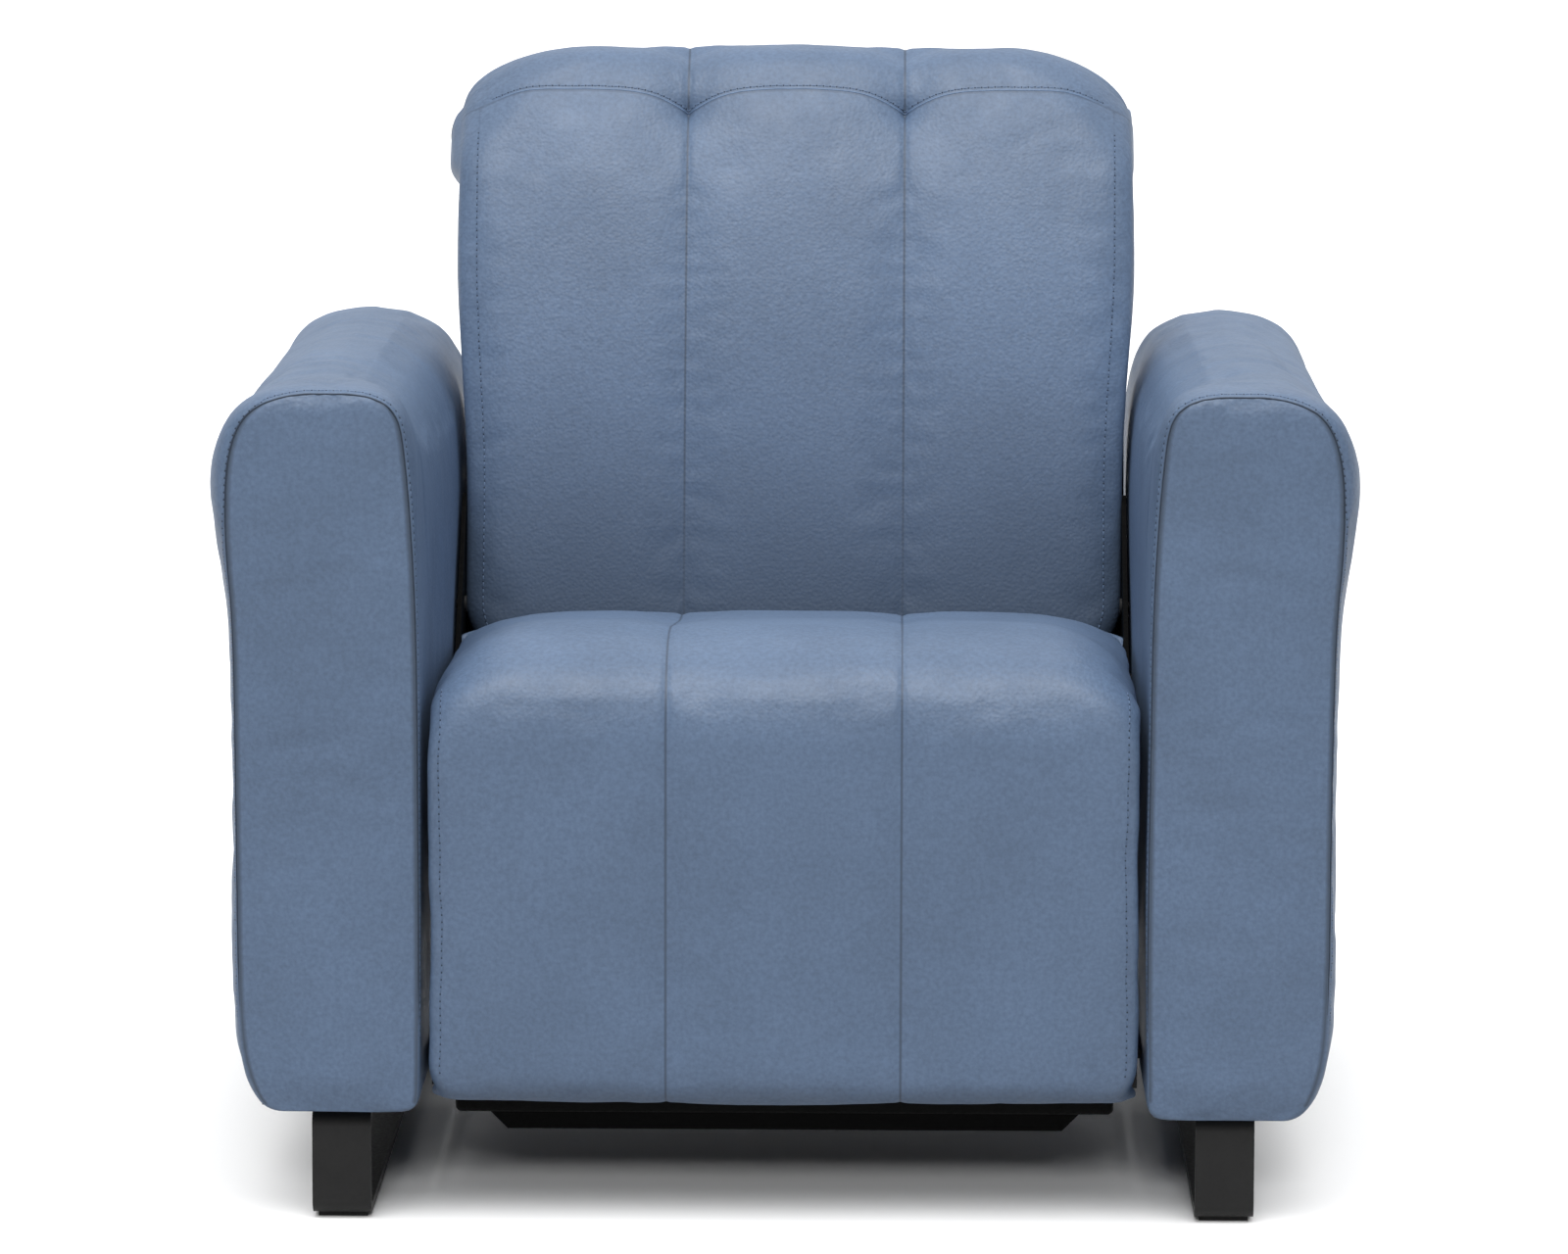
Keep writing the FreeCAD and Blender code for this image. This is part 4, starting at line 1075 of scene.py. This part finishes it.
# Edges of the metal and plastic parts are eased so that they catch the light.
for node_name in ("left_sled_leg", "right_sled_leg", "front_guard_plate", "rear_panel", "control_box",
                  "switch_housing", "legrest_rocker", "recline_rocker", "outer_back_panel"):
    edge = nodes[node_name].modifiers.new("Bevel", "BEVEL")
    edge.width = 0.0012
    edge.segments = 2
    edge.limit_method = "ANGLE"


# Studio: a floor that looks white under an even sky, and a camera in front of the chair.

def studio_floor():
    bpy.ops.mesh.primitive_plane_add(size=120.0, location=(0, 0, 0))
    floor = bpy.context.object
    floor.name = "floor"
    material, tree, shader = node_material("floor_white")
    tone = ramp(tree, object_noise(tree, 3.0, 2.0), [(0.3, grey(0.18)), (0.7, grey(0.19))])
    path = tree.nodes.new("ShaderNodeLightPath")
    seen = greater(tree, path.outputs["Is Camera Ray"], path.outputs["Is Glossy Ray"])
    tree.links.new(mix_colour(tree, seen, tone, grey(1.0)), shader.inputs["Base Color"])
    shader.inputs["Roughness"].default_value = 0.9
    shader.inputs["Specular IOR Level"].default_value = 0.1
    floor.data.materials.append(material)
    return floor


def studio_sky():
    """A sky that is bright overhead, with a backdrop behind the chair that shows in gloss."""
    world = bpy.data.worlds.new("studio")
    bpy.context.scene.world = world
    world.use_nodes = True
    tree = world.node_tree
    background = tree.nodes["Background"]
    where = tree.nodes.new("ShaderNodeTexCoord")
    split = tree.nodes.new("ShaderNodeSeparateXYZ")
    tree.links.new(where.outputs["Generated"], split.inputs[0])
    overhead = ramp(tree, split.outputs["Z"], [(0.0, grey(0.04)), (0.35, grey(0.18)), (1.0, grey(0.95))])
    backdrop = ramp(tree, split.outputs["Y"], [(0.1, grey(0.0)), (0.7, grey(0.7))])
    path = tree.nodes.new("ShaderNodeLightPath")
    share = greater(tree, path.outputs["Is Glossy Ray"], 0.05)
    sky = mix_colour(tree, share, overhead, backdrop, "ADD")
    colour = mix_colour(tree, path.outputs["Is Camera Ray"], sky, grey(1.0))
    tree.links.new(colour, background.inputs["Color"])
    background.inputs["Strength"].default_value = 1.0


def sun_lamp(name, energy, size, tilt, receivers):
    """A distant lamp; size is its angular diameter and tilt its turn about x and y, all in degrees."""
    data = bpy.data.lights.new(name, "SUN")
    data.energy = energy
    data.angle = math.radians(size)
    lamp = bpy.data.objects.new(name, data)
    lamp.rotation_euler = (math.radians(tilt[0]), math.radians(tilt[1]), 0)
    lamp.light_linking.receiver_collection = receivers
    bpy.context.scene.collection.objects.link(lamp)


def studio_lamps(floor):
    """The key lights the chair; the other lamps light the floor, which keeps the chair's shadow."""
    floor_only = bpy.data.collections.new("floor_only")
    floor_only.objects.link(floor)
    all_but_floor = bpy.data.collections.new("all_but_floor")
    all_but_floor.objects.link(floor)
    all_but_floor.collection_objects[0].light_linking.link_state = "EXCLUDE"
    sun_lamp("key", 2.36, 35, (31, -4), all_but_floor)
    sun_lamp("floor_low", 1.15, 12, (65, 0), floor_only)
    sun_lamp("floor_high", 2.2, 50, (30, 0), floor_only)
    sun_lamp("floor_left", 0.52, 20, (0, -30), floor_only)
    sun_lamp("floor_right", 0.52, 20, (0, 30), floor_only)


def camera():
    """A long lens a little right of the middle, turned slightly about its axis."""
    photo_width = 1600
    focal_length = 7850
    distance = 6.2
    elevation = math.radians(8.0)
    roll = math.radians(0.15)
    height = 0.492
    target = Vector((0.0, ARM_FRONT, height))
    place = target + Vector((0.09, -distance * math.cos(elevation), distance * math.sin(elevation)))
    data = bpy.data.cameras.new("camera")
    data.sensor_fit = "HORIZONTAL"
    data.sensor_width = 36.0
    data.lens = data.sensor_width * focal_length / photo_width
    data.clip_end = 400.0
    cam = bpy.data.objects.new("camera", data)
    bpy.context.scene.collection.objects.link(cam)
    turn = (target - place).to_track_quat("-Z", "Y")
    cam.matrix_world = Matrix.Translation(place) @ turn.to_matrix().to_4x4() @ Matrix.Rotation(roll, 4, "Z")
    bpy.context.scene.camera = cam


studio_lamps(studio_floor())
studio_sky()
camera()
bpy.context.scene.view_settings.view_transform = "Standard"
